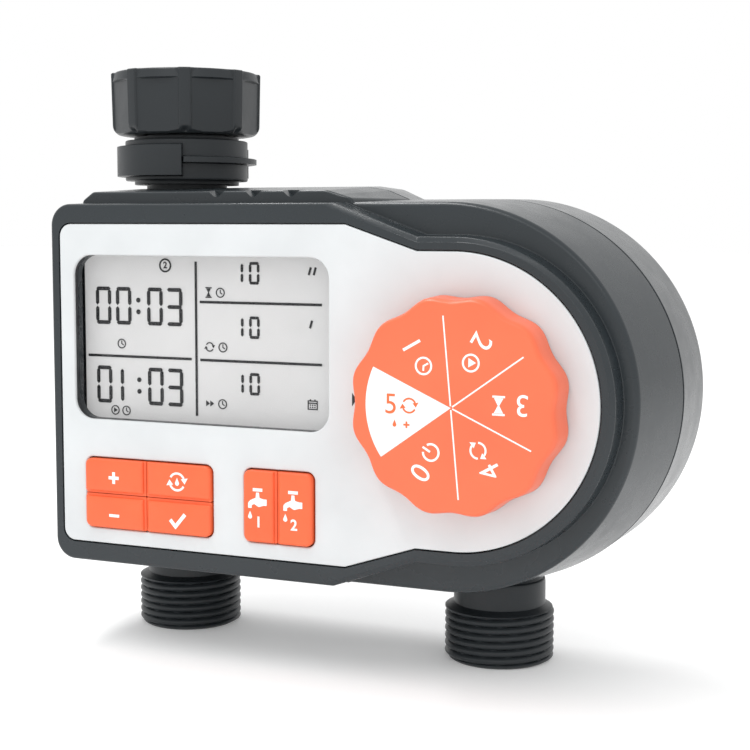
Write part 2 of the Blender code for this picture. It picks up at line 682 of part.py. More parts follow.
def build_cells():
    """Two cylinders with a raised contact, laid side by side and facing opposite ways."""
    half, edge = CELL_LENGTH / 2, 0.0004
    contact_r, shoulder = 0.0026, CELL_LENGTH / 2 - 0.0010
    profile = [
        (0, half), (contact_r, half), (contact_r, shoulder), (CELL_R - edge, shoulder),
        (CELL_R, shoulder - edge), (CELL_R, -half + edge), (CELL_R - edge, -half), (0, -half),
    ]
    for number, (z, side) in enumerate(zip(CELL_Z, (1, -1)), 1):
        turned(f"battery_{number}", profile, ((0.10, 0.30, 0.22), 0.3, 0.6), (CELL_X, CELL_Y, z),
               (0, side * math.pi / 2, 0), 16)


def build_contacts(x0, x1):
    """Link and terminal plates and the cells' springs, between the tray's inner ends."""
    thick, reach = 0.0005, 0.0062
    low, high = CELL_Z[0] - reach, CELL_Z[1] + reach
    plates = {
        "battery_link": (x0 + GAP + thick / 2, low, high),
        "battery_terminal": (x1 - GAP - thick / 2, low, CELL_Z[0] + reach),
    }
    for name, (x, bottom, top) in plates.items():
        half = (top - bottom) / 2
        mesh = box_mesh(-thick / 2, thick / 2, -0.0050, 0.0050, -half, half)
        add_part(name, mesh, STEEL, (x, CELL_Y, (bottom + top) / 2))
    coil_r, wire_r = 0.0034, 0.00025
    clearance = GAP + wire_r
    left_end, right_end = CELL_X - CELL_LENGTH / 2, CELL_X + CELL_LENGTH / 2
    springs = {
        "battery_spring_1": (x0 + GAP + thick + clearance, left_end - clearance, CELL_Z[0]),
        "battery_spring_2": (x1 - clearance, right_end + clearance, CELL_Z[1]),
    }
    for name, (start, end, z) in springs.items():
        points = coil_points((start, CELL_Y, z), 1, coil_r, end - start, 1.6, 10)
        wire(name, points, wire_r, STEEL, 1)


def build_batteries():
    wall = 0.0015
    tray = plate("battery_tray", [rectangle(TRAY, 0.001, 1)], TRAY_Y0, TRAY_Y1, (BLACK_PLASTIC, 0.6))
    cut_plate(tray, [rectangle(TRAY, 0.001, 1, grow=-wall)], TRAY_Y0 + wall, TRAY_Y1 + 0.001)
    build_cells()
    build_contacts(TRAY[0] + wall, TRAY[1] - wall)


def build_battery_door():
    x0, x1, z0, z1 = DOOR
    outline = rectangle((x0, x1, z0 - HINGE_Z, z1 - HINGE_Z), 0.0020, 2)
    mesh = loft([(DOOR_Y0 - HINGE_Y, outline), (BACK_Y - HINGE_Y, outline)])
    door = add_part("battery_door", mesh, (CHARCOAL, 0.42), (0, HINGE_Y, HINGE_Z))
    join(door, rod_mesh((HINGE_X0, HINGE_Y, HINGE_Z), (HINGE_X1, HINGE_Y, HINGE_Z), 0.0015, 16))
    bridge = box_mesh(
        HINGE_X0 + 0.0004, HINGE_X1 - 0.0004, DOOR_Y0 + 0.0001, BACK_Y - 0.0002,
        HINGE_Z - 0.0004, z0 + 0.0006,
    )
    join(door, bridge)
    ends = (HINGE_X0 - 0.001, HINGE_Y, HINGE_Z), (HINGE_X1 + 0.001, HINGE_Y, HINGE_Z)
    cut(door, rod_mesh(*ends, PIN_R + GAP, SMALL))
    outer = rectangle(DOOR, 0.0020, 2, grow=-0.0029)
    inner = rectangle(DOOR, 0.0012, 2, grow=-0.0041)
    plate("battery_door_seal", [outer, inner], TRAY_Y1 + GAP, DOOR_Y0 - GAP, (RUBBER, 0.8))
    half = (HINGE_X1 - HINGE_X0) / 2 + 0.0050
    pin = rod_mesh((-half, 0, 0), (half, 0, 0), PIN_R, SMALL)
    add_part("door_hinge_pin", pin, STEEL, ((HINGE_X0 + HINGE_X1) / 2, HINGE_Y, HINGE_Z))


# ---------------------------------------------------------------- water path


def build_manifold():
    """Water body: one pipe down from the inlet, one above each outlet, and the pipe across."""
    bottom, top, body_r = -0.0406, 0.0432, 0.0102
    inlet_r, cross_r, outlet_r, port_r = 0.0075, 0.0050, 0.0070, 0.0050
    inward = 0.0013          # pipes that branch off start a little past the axis of the one they leave
    body = rod_mesh((INLET_X, PIPE_Y, bottom), (INLET_X, PIPE_Y, top), body_r)
    manifold = add_part("valve_manifold", body, ((0.10, 0.11, 0.12), 0.5))
    join(manifold, rod_mesh((0, PIPE_Y, bottom), (0, PIPE_Y, CROSS_Z + 0.012), body_r))
    start, end = (INLET_X + inward, PIPE_Y, CROSS_Z), (-inward, PIPE_Y, CROSS_Z)
    join(manifold, rod_mesh(start, end, cross_r + 0.0020, 20))
    for sign, x in zip((1, -1), OUTLET_X):
        begin = (x + sign * inward, PIPE_Y, VALVE_Z)
        face = x + sign * CHAMBER_FACE
        join(manifold, rod_mesh(begin, (face, PIPE_Y, VALVE_Z), VALVE_R))
        low, high = (x, PIPE_Y, bottom - 0.001), (x, PIPE_Y, VALVE_Z + inward)
        cut(manifold, rod_mesh(low, high, outlet_r, 20))
        cut(manifold, rod_mesh(begin, (face + sign * 0.001, PIPE_Y, VALVE_Z), port_r, 16))
    low, high = (INLET_X, PIPE_Y, CROSS_Z - inward), (INLET_X, PIPE_Y, top + 0.001)
    cut(manifold, rod_mesh(low, high, inlet_r, 20))
    cut(manifold, rod_mesh(start, (-3 * inward, PIPE_Y, CROSS_Z), cross_r, 16))


def build_valve(number, x, sign):
    """Diaphragm, bonnet, coil, plunger and spring of one valve, along X from its chamber face."""
    turn = (0, sign * math.pi / 2, 0)
    face = x + sign * (CHAMBER_FACE + GAP)
    place = (face, PIPE_Y, VALVE_Z)
    rubber_r, rubber_end = VALVE_R - 0.0010, 0.0010
    diaphragm = [(0, rubber_end), (rubber_r, rubber_end), (rubber_r, 0), (0, 0)]
    turned(f"diaphragm_{number}", diaphragm, (RUBBER, 0.8), place, turn)
    start, tube_end, flange, wall = 0.0013, 0.0270, 0.0035, 0.0015
    tube_r, bore_r = 0.0046, 0.0036
    bonnet = [
        (0, tube_end), (tube_r, tube_end), (tube_r, start + flange), (VALVE_R, start + flange),
        (VALVE_R, start), (bore_r, start), (bore_r, tube_end - wall), (0, tube_end - wall),
    ]
    turned(f"solenoid_bonnet_{number}", bonnet, (BLACK_PLASTIC, 0.5), place, turn)
    coil = ring(tube_r + GAP, COIL_R, start + flange + GAP, tube_end - wall)
    turned(f"solenoid_coil_{number}", coil, ((0.35, 0.10, 0.04), 0.45), place, turn)
    plunger_r, nose_r = bore_r - GAP, 0.0026
    plunger = [(0, 0.0160), (plunger_r, 0.0160), (plunger_r, 0.0030), (nose_r, 0.0022), (0, 0.0022)]
    turned(f"solenoid_plunger_{number}", plunger, STEEL, place, turn, 16)
    begin = (face + sign * 0.0168, PIPE_Y, VALVE_Z)
    points = coil_points(begin, sign, 0.0024, 0.0074, 3.5, 8)
    wire(f"plunger_spring_{number}", points, 0.0003, STEEL, 1)


def build_lead(number, x, sign):
    """Lead from the board's back, through the bulkhead, bending down to the top of the coil."""
    column = x + sign * LEAD_REACH
    bend_y, bend_r = 0.0280, 0.0015
    route = [(BOARD_Y1 + 0.0004, LEAD_Z), (bend_y, LEAD_Z)]
    route += arc((bend_y, LEAD_Z - bend_r), bend_r, 70, 0, 4)
    points = [(column, y, z) for y, z in route]
    wire(f"coil_lead_{number}", points, LEAD_R, ((0.5, 0.03, 0.02), 0.5))


def build_outlet(number, x):
    """Outlet fitting: a tube through the casing, a smooth neck below it and the male thread."""
    root = THREAD_R - THREAD_DEPTH
    top = OUTLET_Z0 + THREAD_START + THREAD_CRESTS * THREAD_PITCH
    profile = [
        (OUTLET_UPPER_R, OUTLET_Z1), (OUTLET_UPPER_R, OUTLET_SHOULDER_Z),
        (OUTLET_NECK_R - 0.0003, OUTLET_SHOULDER_Z - 0.0002),
        (OUTLET_NECK_R, OUTLET_SHOULDER_Z - 0.0009), (OUTLET_NECK_R, top + GAP),
    ]
    for i in range(THREAD_CRESTS):
        z = top - i * THREAD_PITCH
        profile += [(root, z), (THREAD_R, z - THREAD_PITCH / 2)]
    profile += [(root, OUTLET_Z0 + THREAD_START), (root - 0.0003, OUTLET_Z0)]
    profile += [(OUTLET_BORE_R, OUTLET_Z0), (OUTLET_BORE_R, OUTLET_Z1)]
    turned(f"outlet_fitting_{number}", profile, (CHARCOAL, 0.45), (x, PIPE_Y, 0))
    seal = ring(0.0078, 0.0101, OUTLET_Z1 + GAP, -0.0409)
    turned(f"outlet_seal_{number}", seal, (RUBBER, 0.8), (x, PIPE_Y, 0), steps=20)


def sector(r0, r1, start, end, steps=8):
    """Outline of part of a flat ring, angles in degrees."""
    return arc((0, 0), r1, start, end, steps) + arc((0, 0), r0, end, start, steps)


def build_stem():
    bottom = 0.0435
    profile = [
        (FLANGE_R, FLANGE_Z1), (FLANGE_R, FLANGE_Z0), (STEM_R, FLANGE_Z0), (STEM_R, bottom),
        (STEM_BORE_R, bottom), (STEM_BORE_R, FLANGE_Z1),
    ]
    turned("inlet_stem", profile, (CHARCOAL, 0.45), (INLET_X, PIPE_Y, 0))
    washer = ring(0.0086, FLANGE_R, FLANGE_Z1 + GAP, SEAT_Z)
    turned("inlet_washer", washer, (RUBBER, 0.8), (INLET_X, PIPE_Y, 0))
    rim_z0, rim_z1, cup_z0, cup_z1 = SEAT_Z - 0.0020, SEAT_Z - 0.0012, SEAT_Z - 0.0163, SEAT_Z - 0.0155
    strainer = [
        (0, cup_z1), (0.0046, cup_z1), (0.0066, rim_z1), (0.0082, rim_z1), (0.0082, rim_z0),
        (0.0074, rim_z0), (0.0052, cup_z0), (0, cup_z0),
    ]
    turned("inlet_filter", strainer, ((0.55, 0.55, 0.56), 0.4), (INLET_X, PIPE_Y, 0), steps=20)


def build_collar():
    """Fixed ring under the nut, with a grip block and a low rib on either side."""
    inner = STEM_R + GAP
    top, bottom = COLLAR_Z1 + COLLAR_STEP, COLLAR_Z0 - COLLAR_STEP - 0.0001
    profile = [
        (COLLAR_STEP_R, top), (COLLAR_STEP_R, COLLAR_Z1), (COLLAR_R, COLLAR_Z1), (COLLAR_R, COLLAR_Z0),
        (COLLAR_STEP_R, COLLAR_Z0), (COLLAR_STEP_R, bottom), (inner, bottom), (inner, top),
    ]
    collar = turned("inlet_collar", profile, (CHARCOAL, 0.45), (INLET_X, PIPE_Y, 0))
    for reach, z0, z1, start, end in GRIPS:
        grip = flat_solid([sector(COLLAR_R - 0.0008, reach, start, end)], z1 - z0)
        join(collar, grip, (INLET_X, PIPE_Y, (z0 + z1) / 2))


def octagon(radius):
    """Eight sides whose corners are cut off flat, which leaves a narrow rib at each."""
    points = []
    for i in range(8):
        rib = FACING + i * math.pi / 4
        for angle in (rib - NUT_EDGE, rib + NUT_EDGE):
            points.append((radius * math.cos(angle), radius * math.sin(angle)))
    return points


def build_nut():
    """Eight-sided hand nut, rounded below, with an inner ledge that hooks under the stem's flange."""
    sides = [(0.0, NUT_R - 0.0020), (0.0012, NUT_R - 0.0006), (0.0030, NUT_R), (NUT_Z1 - NUT_Z0, NUT_R)]
    mesh = stack([(height, octagon(radius)) for height, radius in sides])
    nut = add_part("swivel_nut", mesh, (CHARCOAL, 0.45), (INLET_X, PIPE_Y, NUT_Z0))
    axis = (INLET_X, PIPE_Y)
    ledge = FLANGE_Z0 - GAP
    cut(nut, rod_mesh((*axis, ledge), (*axis, NUT_Z1 + 0.001), THREAD_R + 0.0002))
    cut(nut, rod_mesh((*axis, NUT_Z0 - 0.001), (*axis, ledge + 0.001), STEM_R + GAP))


def build_cover_screws():
    head, shank = 0.0023, 0.0014
    profile = [
        (0, 0.0020), (head - GAP, 0.0020), (head, 0.0016), (head, 0), (shank, 0),
        (shank, -0.0220), (0, -0.0235),
    ]
    for number, (x, z) in enumerate(COVER_SCREWS, 1):
        turned(f"cover_screw_{number}", profile, STEEL, (x, SCREW_HEAD_Y, z), INWARD, SMALL)


def main():
    build_front_housing()
    build_rear_cover()
    build_faceplate()
    build_bulkhead()
    build_display()
    build_keys()
    build_board()
    build_dial()
    build_batteries()
    build_battery_door()
    build_manifold()
    for number, (sign, x) in enumerate(zip((1, -1), OUTLET_X), 1):
        build_valve(number, x, sign)
        build_lead(number, x, sign)
        build_outlet(number, x)
    build_stem()
    build_collar()
    build_nut()
    build_cover_screws()


main()
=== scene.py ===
"""Looks of the two-outlet drip irrigation timer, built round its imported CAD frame.

Lengths are in metres. Pieces are drawn in the timer's drawing frame (X to the right, Y into the timer,
Z up, origin at the centre of the faceplate's round end, in its front plane) and then moved by ORIGIN,
which is read from the frame. The casing's outlines repeat the driving dimensions of the CAD.
"""
import json
import math

import bmesh
import bpy
from mathutils import Matrix, Vector


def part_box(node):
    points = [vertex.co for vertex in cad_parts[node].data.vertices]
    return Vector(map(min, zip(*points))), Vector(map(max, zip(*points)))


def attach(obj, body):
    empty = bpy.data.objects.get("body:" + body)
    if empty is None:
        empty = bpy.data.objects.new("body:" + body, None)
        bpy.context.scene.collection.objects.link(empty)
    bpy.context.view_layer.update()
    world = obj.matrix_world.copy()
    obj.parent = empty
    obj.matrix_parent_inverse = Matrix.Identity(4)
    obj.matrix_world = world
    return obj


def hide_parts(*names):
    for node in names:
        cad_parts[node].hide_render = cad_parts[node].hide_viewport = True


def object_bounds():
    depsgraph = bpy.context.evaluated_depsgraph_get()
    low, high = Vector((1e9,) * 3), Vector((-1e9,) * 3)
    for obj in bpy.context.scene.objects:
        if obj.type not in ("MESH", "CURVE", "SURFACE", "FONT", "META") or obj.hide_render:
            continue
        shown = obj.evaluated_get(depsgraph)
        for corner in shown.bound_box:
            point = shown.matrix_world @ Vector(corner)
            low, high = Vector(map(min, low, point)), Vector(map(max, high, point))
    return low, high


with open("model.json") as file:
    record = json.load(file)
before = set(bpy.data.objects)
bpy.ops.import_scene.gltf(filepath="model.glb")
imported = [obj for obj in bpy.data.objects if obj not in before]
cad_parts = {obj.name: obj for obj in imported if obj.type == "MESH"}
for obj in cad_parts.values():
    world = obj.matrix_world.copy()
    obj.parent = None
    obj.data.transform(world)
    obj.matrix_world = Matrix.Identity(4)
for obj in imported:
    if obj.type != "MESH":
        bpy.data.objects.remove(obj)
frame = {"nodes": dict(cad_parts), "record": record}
CAD_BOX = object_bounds()

# ---------------------------------------------------------------- dimensions

GAP = 0.0003
PLATE_R = 0.0332             # round end of the faceplate
PLATE_LEFT = -0.1025
PLATE_TOP = 0.039
NECK_OUT = (-0.026, PLATE_TOP)        # ends of the plate's slanted edge
NECK_IN = (-0.0087, PLATE_R)
POCKET_Y = 0.0019            # floor of the pocket that holds the plate
FRONT_WALL_Y = 0.0037        # back of that floor
WALL = 0.0025
SEAM_Y, BACK_Y = 0.028, 0.050
RIM_X, RIM_R = -0.0053, 0.0438        # centre and radius of the casing's round end, at the front
DRUM_R, REAR_R = 0.045, 0.0453        # and its radius at the seam and at the back
RIM_LEFT, SEAM_LEFT, REAR_LEFT = -0.1051, -0.1063, -0.1066
SHOULDER_Y = 0.0060          # the casing steps back to this depth all round the dial end
LIP_FOOT = 0.0035            # how far the lip at that end reaches outside the faceplate
LIP_SLOPE, LIP_SHIFT = 0.362, -0.0004
STRIP_LEFT = -0.1006
# the raised strip at three depths: depth, height, start and end of its slope
STRIP_FRONT = (0.0062, 0.0468, -0.0334, -0.0272)
STRIP_SEAM = (SEAM_Y, 0.0481, -0.0325, -0.0215)
STRIP_BACK = (0.0488, 0.0488, -0.0380, -0.0250)
NOTCHES = (-0.0622, -0.0524, -0.0426)
# openings of the faceplate: x0, x1, z0, z1
WINDOW = (-0.0986, -0.0300, -0.0084, 0.0315)
WINDOW_CORNER = 0.0048
PAD_4 = (-0.0958, -0.0602, -0.0353, -0.0177)
PAD_2 = (-0.0519, -0.0335, -0.0353, -0.0177)
KEY_SPLIT_4 = (-0.0784, -0.0266)      # where the keys of each block meet
KEY_SPLIT_2 = -0.0430
PAD_CORNER = 0.0020
KEY_FRONT_Y = -0.0012
KEY_BACK_Y = 0.0036
DIAL_SIDE_R, DIAL_BACK_R, DIAL_WAVE, DIAL_LOBES = 0.0235, 0.0238, 0.00055, 12
DOOR = (-0.0720, -0.0120, 0.0088, 0.0420)
HINGE_Y, HINGE_Z = 0.0482, 0.0064
HINGE_X0, HINGE_X1 = -0.0570, -0.0270
THREAD_R, THREAD_PITCH, THREAD_DEPTH = 0.01322, 0.001814, 0.00105
STEM_R, NECK_R, UPPER_NECK_R = 0.0103, 0.0111, 0.0104
FACING = math.radians(-60.6)      # direction, about Z, of one of the nut's ribs
THREAD_TURNS = 7
THREAD_TOP = 0.0004 + THREAD_TURNS * THREAD_PITCH        # above the outlet's lower end
FLANGE_HEIGHT = 0.0020       # the stem's flange that holds the nut
COLLAR_R, COLLAR_STEP_R = 0.0157, 0.0134        # the ring, and the steps above and below it
COLLAR_LEVELS = (0.0501, 0.0603)      # bottom and top of the ring
# each grip on the collar: reach, z0, z1, start and end in degrees about Z
GRIPS = (
    (0.0178, 0.0510, 0.0590, -166, -63),
    (0.0180, 0.0542, 0.0560, -63, 50),
    (0.0178, 0.0510, 0.0590, 54, 135),
    (0.0180, 0.0542, 0.0560, 135, 190),
)
NUT_R, NUT_FLAT = 0.0191, 0.0177      # over the ribs, and from the axis to each flat
SCREWS = range(1, 7)
SEAM_GAP = 0.00034           # half the open line between the casing's halves
SEAM_EDGE = 0.00018          # radius of the halves' edges at that line
LABEL = (-0.0720, 0.0120, -0.0345, -0.0060)     # plain recessed panel on the back
PLATE_CORNER, CASE_CORNER, DOOR_CORNER = 0.0030, 0.0052, 0.0020
OPENINGS = ((WINDOW, WINDOW_CORNER), (PAD_4, PAD_CORNER), (PAD_2, PAD_CORNER))
INK = 0.00004                # how far printed marks stand out of their surface
KEY_CROWN = 0.00012          # height of the dome on each key
DIGIT_HEIGHT = 0.73          # of the built-in font at size 1
KEY_PRINT = (KEY_FRONT_Y - INK, KEY_FRONT_Y + 0.0003)      # depths of the marks on the keys
FACE_Y = 0.0057              # front of the display panel
ROUND_MARK = (-0.0761, 0.0291)        # number in a ring on the display
DIAL_MARK_R = 0.0198         # reach of the printed lines
SECTOR = 60                  # degrees of the dial for each setting
FIRST_LINE = 95.5            # direction, in degrees, of one of the six lines
UPRIGHT = 186.0              # direction in which a sector reads upright
FINE = 96                    # steps of a half turn on the casing
CUT, ADD = "DIFFERENCE", "UNION"

plate_low, plate_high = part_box("faceplate")
ORIGIN = Vector((plate_high.x - PLATE_R, plate_low.y, (plate_low.z + plate_high.z) / 2))


def drawing_box(node):
    low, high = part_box(node)
    return low - ORIGIN, high - ORIGIN


def drawing_centre(node):
    low, high = drawing_box(node)
    return (low + high) / 2


OUTLETS = [drawing_centre(f"outlet_fitting_{number}") for number in (1, 2)]
INLET_X, PIPE_Y = OUTLETS[0].x, OUTLETS[0].y
INLET = (INLET_X, PIPE_Y, 0)
NUT_LEVELS = tuple(corner.z for corner in drawing_box("swivel_nut"))
NUT_LEDGE = drawing_box("inlet_stem")[1].z - FLANGE_HEIGHT - GAP
DIAL_X = drawing_centre("dial_shaft").x
DIAL_FRONT_Y = drawing_box("dial_knob")[0].y
FLOOR_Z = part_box("outlet_fitting_1")[0].z

# ---------------------------------------------------------------- materials

MATERIALS = {}               # filled by Look


def set_sockets(node, constants):
    """Sets constants by socket name, with an underscore for each space."""
    for socket, value in constants.items():
        node.inputs[socket.replace("_", " ")].default_value = value


class Look:
    """A Principled material with procedural grain, mottling and bump, kept in MATERIALS by name."""

    def __init__(self, name, colour, roughness, **constants):
        self.material = MATERIALS[name] = bpy.data.materials.new(name)
        self.material.use_nodes = True
        self.nodes = self.material.node_tree.nodes
        self.links = self.material.node_tree.links
        self.shader = self.nodes["Principled BSDF"]
        set_sockets(self.shader, {"Base Color": (*colour, 1), "Roughness": roughness, **constants})
        self.colour = colour
        self.roughness = roughness
        self.place = self.nodes.new("ShaderNodeTexCoord").outputs["Object"]
        self.height = None

    def node(self, kind, **constants):
        node = self.nodes.new(kind)
        set_sockets(node, constants)
        return node

    def noise(self, scale, detail):
        noise = self.node("ShaderNodeTexNoise", Scale=scale, Detail=detail)
        self.links.new(self.place, noise.inputs["Vector"])
        return noise.outputs["Fac"]

    def ramp(self, value, low, high):
        """Spreads the middle of a noise over low to high."""
        ramp = self.node("ShaderNodeMapRange", From_Min=0.3, From_Max=0.7, To_Min=low, To_Max=high)
        self.links.new(value, ramp.inputs["Value"])
        return ramp.outputs["Result"]

    def mottle(self, scale, amount):
        """Slow drift of the base colour."""
        mix = self.nodes.new("ShaderNodeMix")
        mix.data_type = "RGBA"
        mix.inputs["A"].default_value = (*(c * (1 - amount) for c in self.colour), 1)
        mix.inputs["B"].default_value = (*(min(1, c * (1 + amount)) for c in self.colour), 1)
        self.links.new(self.ramp(self.noise(scale, 3), 0, 1), mix.inputs["Factor"])
        self.links.new(mix.outputs["Result"], self.shader.inputs["Base Color"])
        return self

    def uneven_gloss(self, scale, amount):
        level = self.ramp(self.noise(scale, 4), self.roughness - amount, self.roughness + amount)
        self.links.new(level, self.shader.inputs["Roughness"])
        return self

    def grain(self, scale, height):
        """Adds one layer of bump, height in metres."""
        bump = self.node("ShaderNodeBump", Strength=1.0, Distance=height)
        self.links.new(self.noise(scale, 2), bump.inputs["Height"])
        if self.height is not None:
            self.links.new(self.height, bump.inputs["Normal"])
        self.height = bump.outputs["Normal"]
        self.links.new(self.height, self.shader.inputs["Normal"])
        return self


def moulding(name, colour, roughness, grain=4200, depth=0.000012, **constants):
    """Injection-moulded plastic: fine spark-eroded grain over a faint flow pattern."""
    look = Look(name, colour, roughness, **constants)
    look.mottle(55, 0.05).uneven_gloss(160, 0.04).grain(260, depth * 1.5).grain(grain, depth)


def metal(name, colour, roughness):
    look = Look(name, colour, roughness, Metallic=1.0)
    look.mottle(300, 0.06).uneven_gloss(900, 0.06).grain(2500, 0.000004)


def rubber(name, colour, roughness=0.62):
    Look(name, colour, roughness).mottle(90, 0.05).uneven_gloss(400, 0.06).grain(3000, 0.000010)


def clear_window():
    """Thin clear cover: what is behind it shows straight through, with a Fresnel gloss on top."""
    Look("window_glass", (0.03, 0.03, 0.03), 0.05, Alpha=0.05, IOR=1.49).uneven_gloss(300, 0.02)


def printed_ink(name, colour, roughness=0.45):
    Look(name, colour, roughness).mottle(1500, 0.04).uneven_gloss(1200, 0.05).grain(5000, 0.000004)


def cell_sleeve():
    look = Look("cell_skin", (0.05, 0.20, 0.13), 0.28, Coat_Weight=0.6, Coat_Roughness=0.08)
    look.mottle(120, 0.12).uneven_gloss(500, 0.05).grain(1500, 0.000006)


moulding("casing_plastic", (0.020, 0.026, 0.030), 0.28, IOR=1.42, Coat_Weight=0.10, Coat_Roughness=0.12)
moulding("fitting_plastic", (0.021, 0.025, 0.028), 0.40, 3200, 0.000016, IOR=1.38)
moulding("white_plastic", (0.64, 0.665, 0.675), 0.33, 3600, 0.000006)
moulding("orange_plastic", (0.86, 0.150, 0.060), 0.36, 3600, 0.000008)
rubber("orange_rubber", (0.85, 0.130, 0.038), 0.44)
clear_window()
# Painted light: the display face glows with a light of its own (emission), which evens out the shade the deep
# window casts on it.
moulding("display_face", (0.44, 0.44, 0.44), 0.6, 5200, 0.000005,
         Emission_Color=(0.70, 0.70, 0.70, 1), Emission_Strength=0.47)
rubber("black_rubber", (0.012, 0.012, 0.013))
metal("steel", (0.62, 0.62, 0.64), 0.26)
moulding("board_laminate", (0.02, 0.13, 0.06), 0.40)
# Dark plastic; on the window liner its dark colour also paints the shade on the window's walls.
moulding("inner_plastic", (0.022, 0.024, 0.027), 0.55)
moulding("coil_wrap", (0.30, 0.07, 0.025), 0.35, 2600, 0.000030)
cell_sleeve()
moulding("filter_mesh", (0.50, 0.51, 0.52), 0.45)
rubber("red_insulation", (0.42, 0.02, 0.015), 0.35)
printed_ink("white_ink", (0.88, 0.88, 0.87))
printed_ink("orange_ink", (0.88, 0.15, 0.04))
printed_ink("black_ink", (0.012, 0.012, 0.013))
printed_ink("segment", (0.010, 0.011, 0.013), 0.30)

# ---------------------------------------------------------------- outlines, in the X-Z plane


def arc(centre, radius, start, end, steps):
    """Points of an arc, angles in degrees."""
    points = []
    for i in range(steps + 1):
        angle = math.radians(start + (end - start) * i / steps)
        points.append((centre[0] + radius * math.cos(angle), centre[1] + radius * math.sin(angle)))
    return points


def rounded(corners, steps=6):
    """Closed outline through (x, y, radius) corners, each turned into an arc."""
    points = []
    for i, (x, y, radius) in enumerate(corners):
        if radius <= 0:
            points.append((x, y))
            continue
        corner = Vector((x, y))
        back = (Vector(corners[i - 1][:2]) - corner).normalized()
        on = (Vector(corners[(i + 1) % len(corners)][:2]) - corner).normalized()
        half = back.angle(on) / 2
        centre = corner + (back + on).normalized() * radius / math.sin(half)
        start = corner + back * radius / math.tan(half) - centre
        end = corner + on * radius / math.tan(half) - centre
        first = math.atan2(start.y, start.x)
        sweep = (math.atan2(end.y, end.x) - first + math.pi) % (2 * math.pi) - math.pi
        points += arc(centre, radius, math.degrees(first), math.degrees(first + sweep), steps)
    return points


def rectangle(box, radius, steps=8, grow=0.0):
    """Box (x0, x1, z0, z1) with rounded corners; radius is one number or one for each corner."""
    x0, x1, z0, z1 = box[0] - grow, box[1] + grow, box[2] - grow, box[3] + grow
    radii = radius if isinstance(radius, tuple) else (radius,) * 4
    corners = ((x1, z1), (x1, z0), (x0, z0), (x0, z1))
    return rounded([(x, z, max(r + grow, 0.00005)) for (x, z), r in zip(corners, radii)], steps)


def stadium(centre_x, radius, left, corner, inset):
    """Outline with a round end to the right and two corners at the left."""
    half = radius - inset
    corner = max(corner - inset, 0.0004)
    x, z = left + inset + corner, half - corner
    return (arc((centre_x, 0), half, 90, -90, FINE) + arc((x, -z), corner, -90, -180, 10)
            + arc((x, z), corner, -180, -270, 10))


def front_section(y, inset=0.0, corner=CASE_CORNER):
    t = y / SEAM_Y
    left = RIM_LEFT + (SEAM_LEFT - RIM_LEFT) * t
    return stadium(RIM_X * (1 - t), RIM_R + (DRUM_R - RIM_R) * t, left, corner, inset)


def rear_section(inset=0.0, corner=CASE_CORNER):
    return stadium(0, REAR_R, REAR_LEFT, corner, inset)


def mirrored(start, radius, far):
    """Outline that runs from start round the dial end, back along start's mirror image, and by far."""
    end = [(x, z, 0) for x, z in arc((0, 0), radius, 90, -90, FINE)]
    lower = [(x, -z, r) for x, z, r in reversed(start)]
    x, z, r = far
    return rounded(start + end + lower + [(x, -z, r), (x, z, r)])


def keyhole(grow=0.0):
    """Outline of the faceplate, widened by grow."""
    slope = math.atan2(NECK_OUT[1] - NECK_IN[1], NECK_IN[0] - NECK_OUT[0])
    shift = grow * math.tan(slope / 2)
    top, radius = PLATE_TOP + grow, PLATE_R + grow
    neck = [(NECK_OUT[0] + shift, top, 0.0012), (NECK_IN[0] + shift, radius, 0.0012)]
    return mirrored(neck, radius, (PLATE_LEFT - grow, top, PLATE_CORNER + grow))


def beyond_lip(reach):
    """Outline of all that lies outside a lip round the dial end, reach wider than the faceplate."""
    level, far, radius = 0.050, 0.060, PLATE_R + reach
    bend = NECK_IN[0] + LIP_SHIFT + reach * math.tan(math.atan(LIP_SLOPE) / 2)
    crest = [(bend - (level - radius) / LIP_SLOPE, level, 0), (bend, radius, 0.0015)]
    return mirrored(crest, radius, (far, level, 0))


def quarter(y, radius, steps=5):
    """(depth, inset) pairs of a rounded edge that starts in the plane at depth y."""
    angles = [math.pi / 2 * i / steps for i in range(steps + 1)]
    return [(y + radius * (1 - math.cos(angle)), radius * (1 - math.sin(angle))) for angle in angles]


def last_quarter(y, radius, steps=5):
    """(depth, inset) pairs of a rounded edge that ends in the plane at depth y."""
    return [(2 * y - depth, inset) for depth, inset in reversed(quarter(y, radius, steps))]


def flare(y, radius, steps=5):
    """(depth, growth) pairs that round the mouth of an opening cut into the plane at depth y."""
    pairs = quarter(y, radius, steps)[1:]
    slope = (radius - pairs[0][1]) / (pairs[0][0] - y)
    outside = 0.0002
    return [(y - outside, radius + slope * outside)] + pairs


# ---------------------------------------------------------------- meshes


def finish_mesh(bm, sharp=32):
    bmesh.ops.recalc_face_normals(bm, faces=bm.faces)
    mesh = bpy.data.meshes.new("piece")
    bm.to_mesh(mesh)
    bm.free()
    mesh.shade_smooth()
    mesh.set_sharp_from_angle(angle=math.radians(sharp))
    return mesh


def skin(bm, rows):
    """Quads between each row of vertices and the next; every row is a closed loop."""
    count = len(rows[0])
    for row, following in zip(rows, rows[1:]):
        for i in range(count):
            j = (i + 1) % count
            bm.faces.new((row[i], row[j], following[j], following[i]))


def loft(sections):
    """Closed solid through outlines of equal point count, each a (depth, outline) pair."""
    bm = bmesh.new()
    rows = [[bm.verts.new((x, y, z)) for x, z in outline] for y, outline in sections]
    skin(bm, rows)
    bm.faces.new(rows[0])
    bm.faces.new(reversed(rows[-1]))
    return finish_mesh(bm)


def spun(bm, profile, columns, shape):
    """A row of columns vertices about Z for each (radius, height) of the profile.

    shape(radius, height, angle) may change a point to another (radius, height).
    """
    rows = []
    for radius, height in profile:
        row = []
        for i in range(columns):
            angle = 2 * math.pi * i / columns
            r, h = shape(radius, height, angle) if shape else (radius, height)
            row.append(bm.verts.new((r * math.cos(angle), r * math.sin(angle), h)))
        rows.append(row)
    return rows


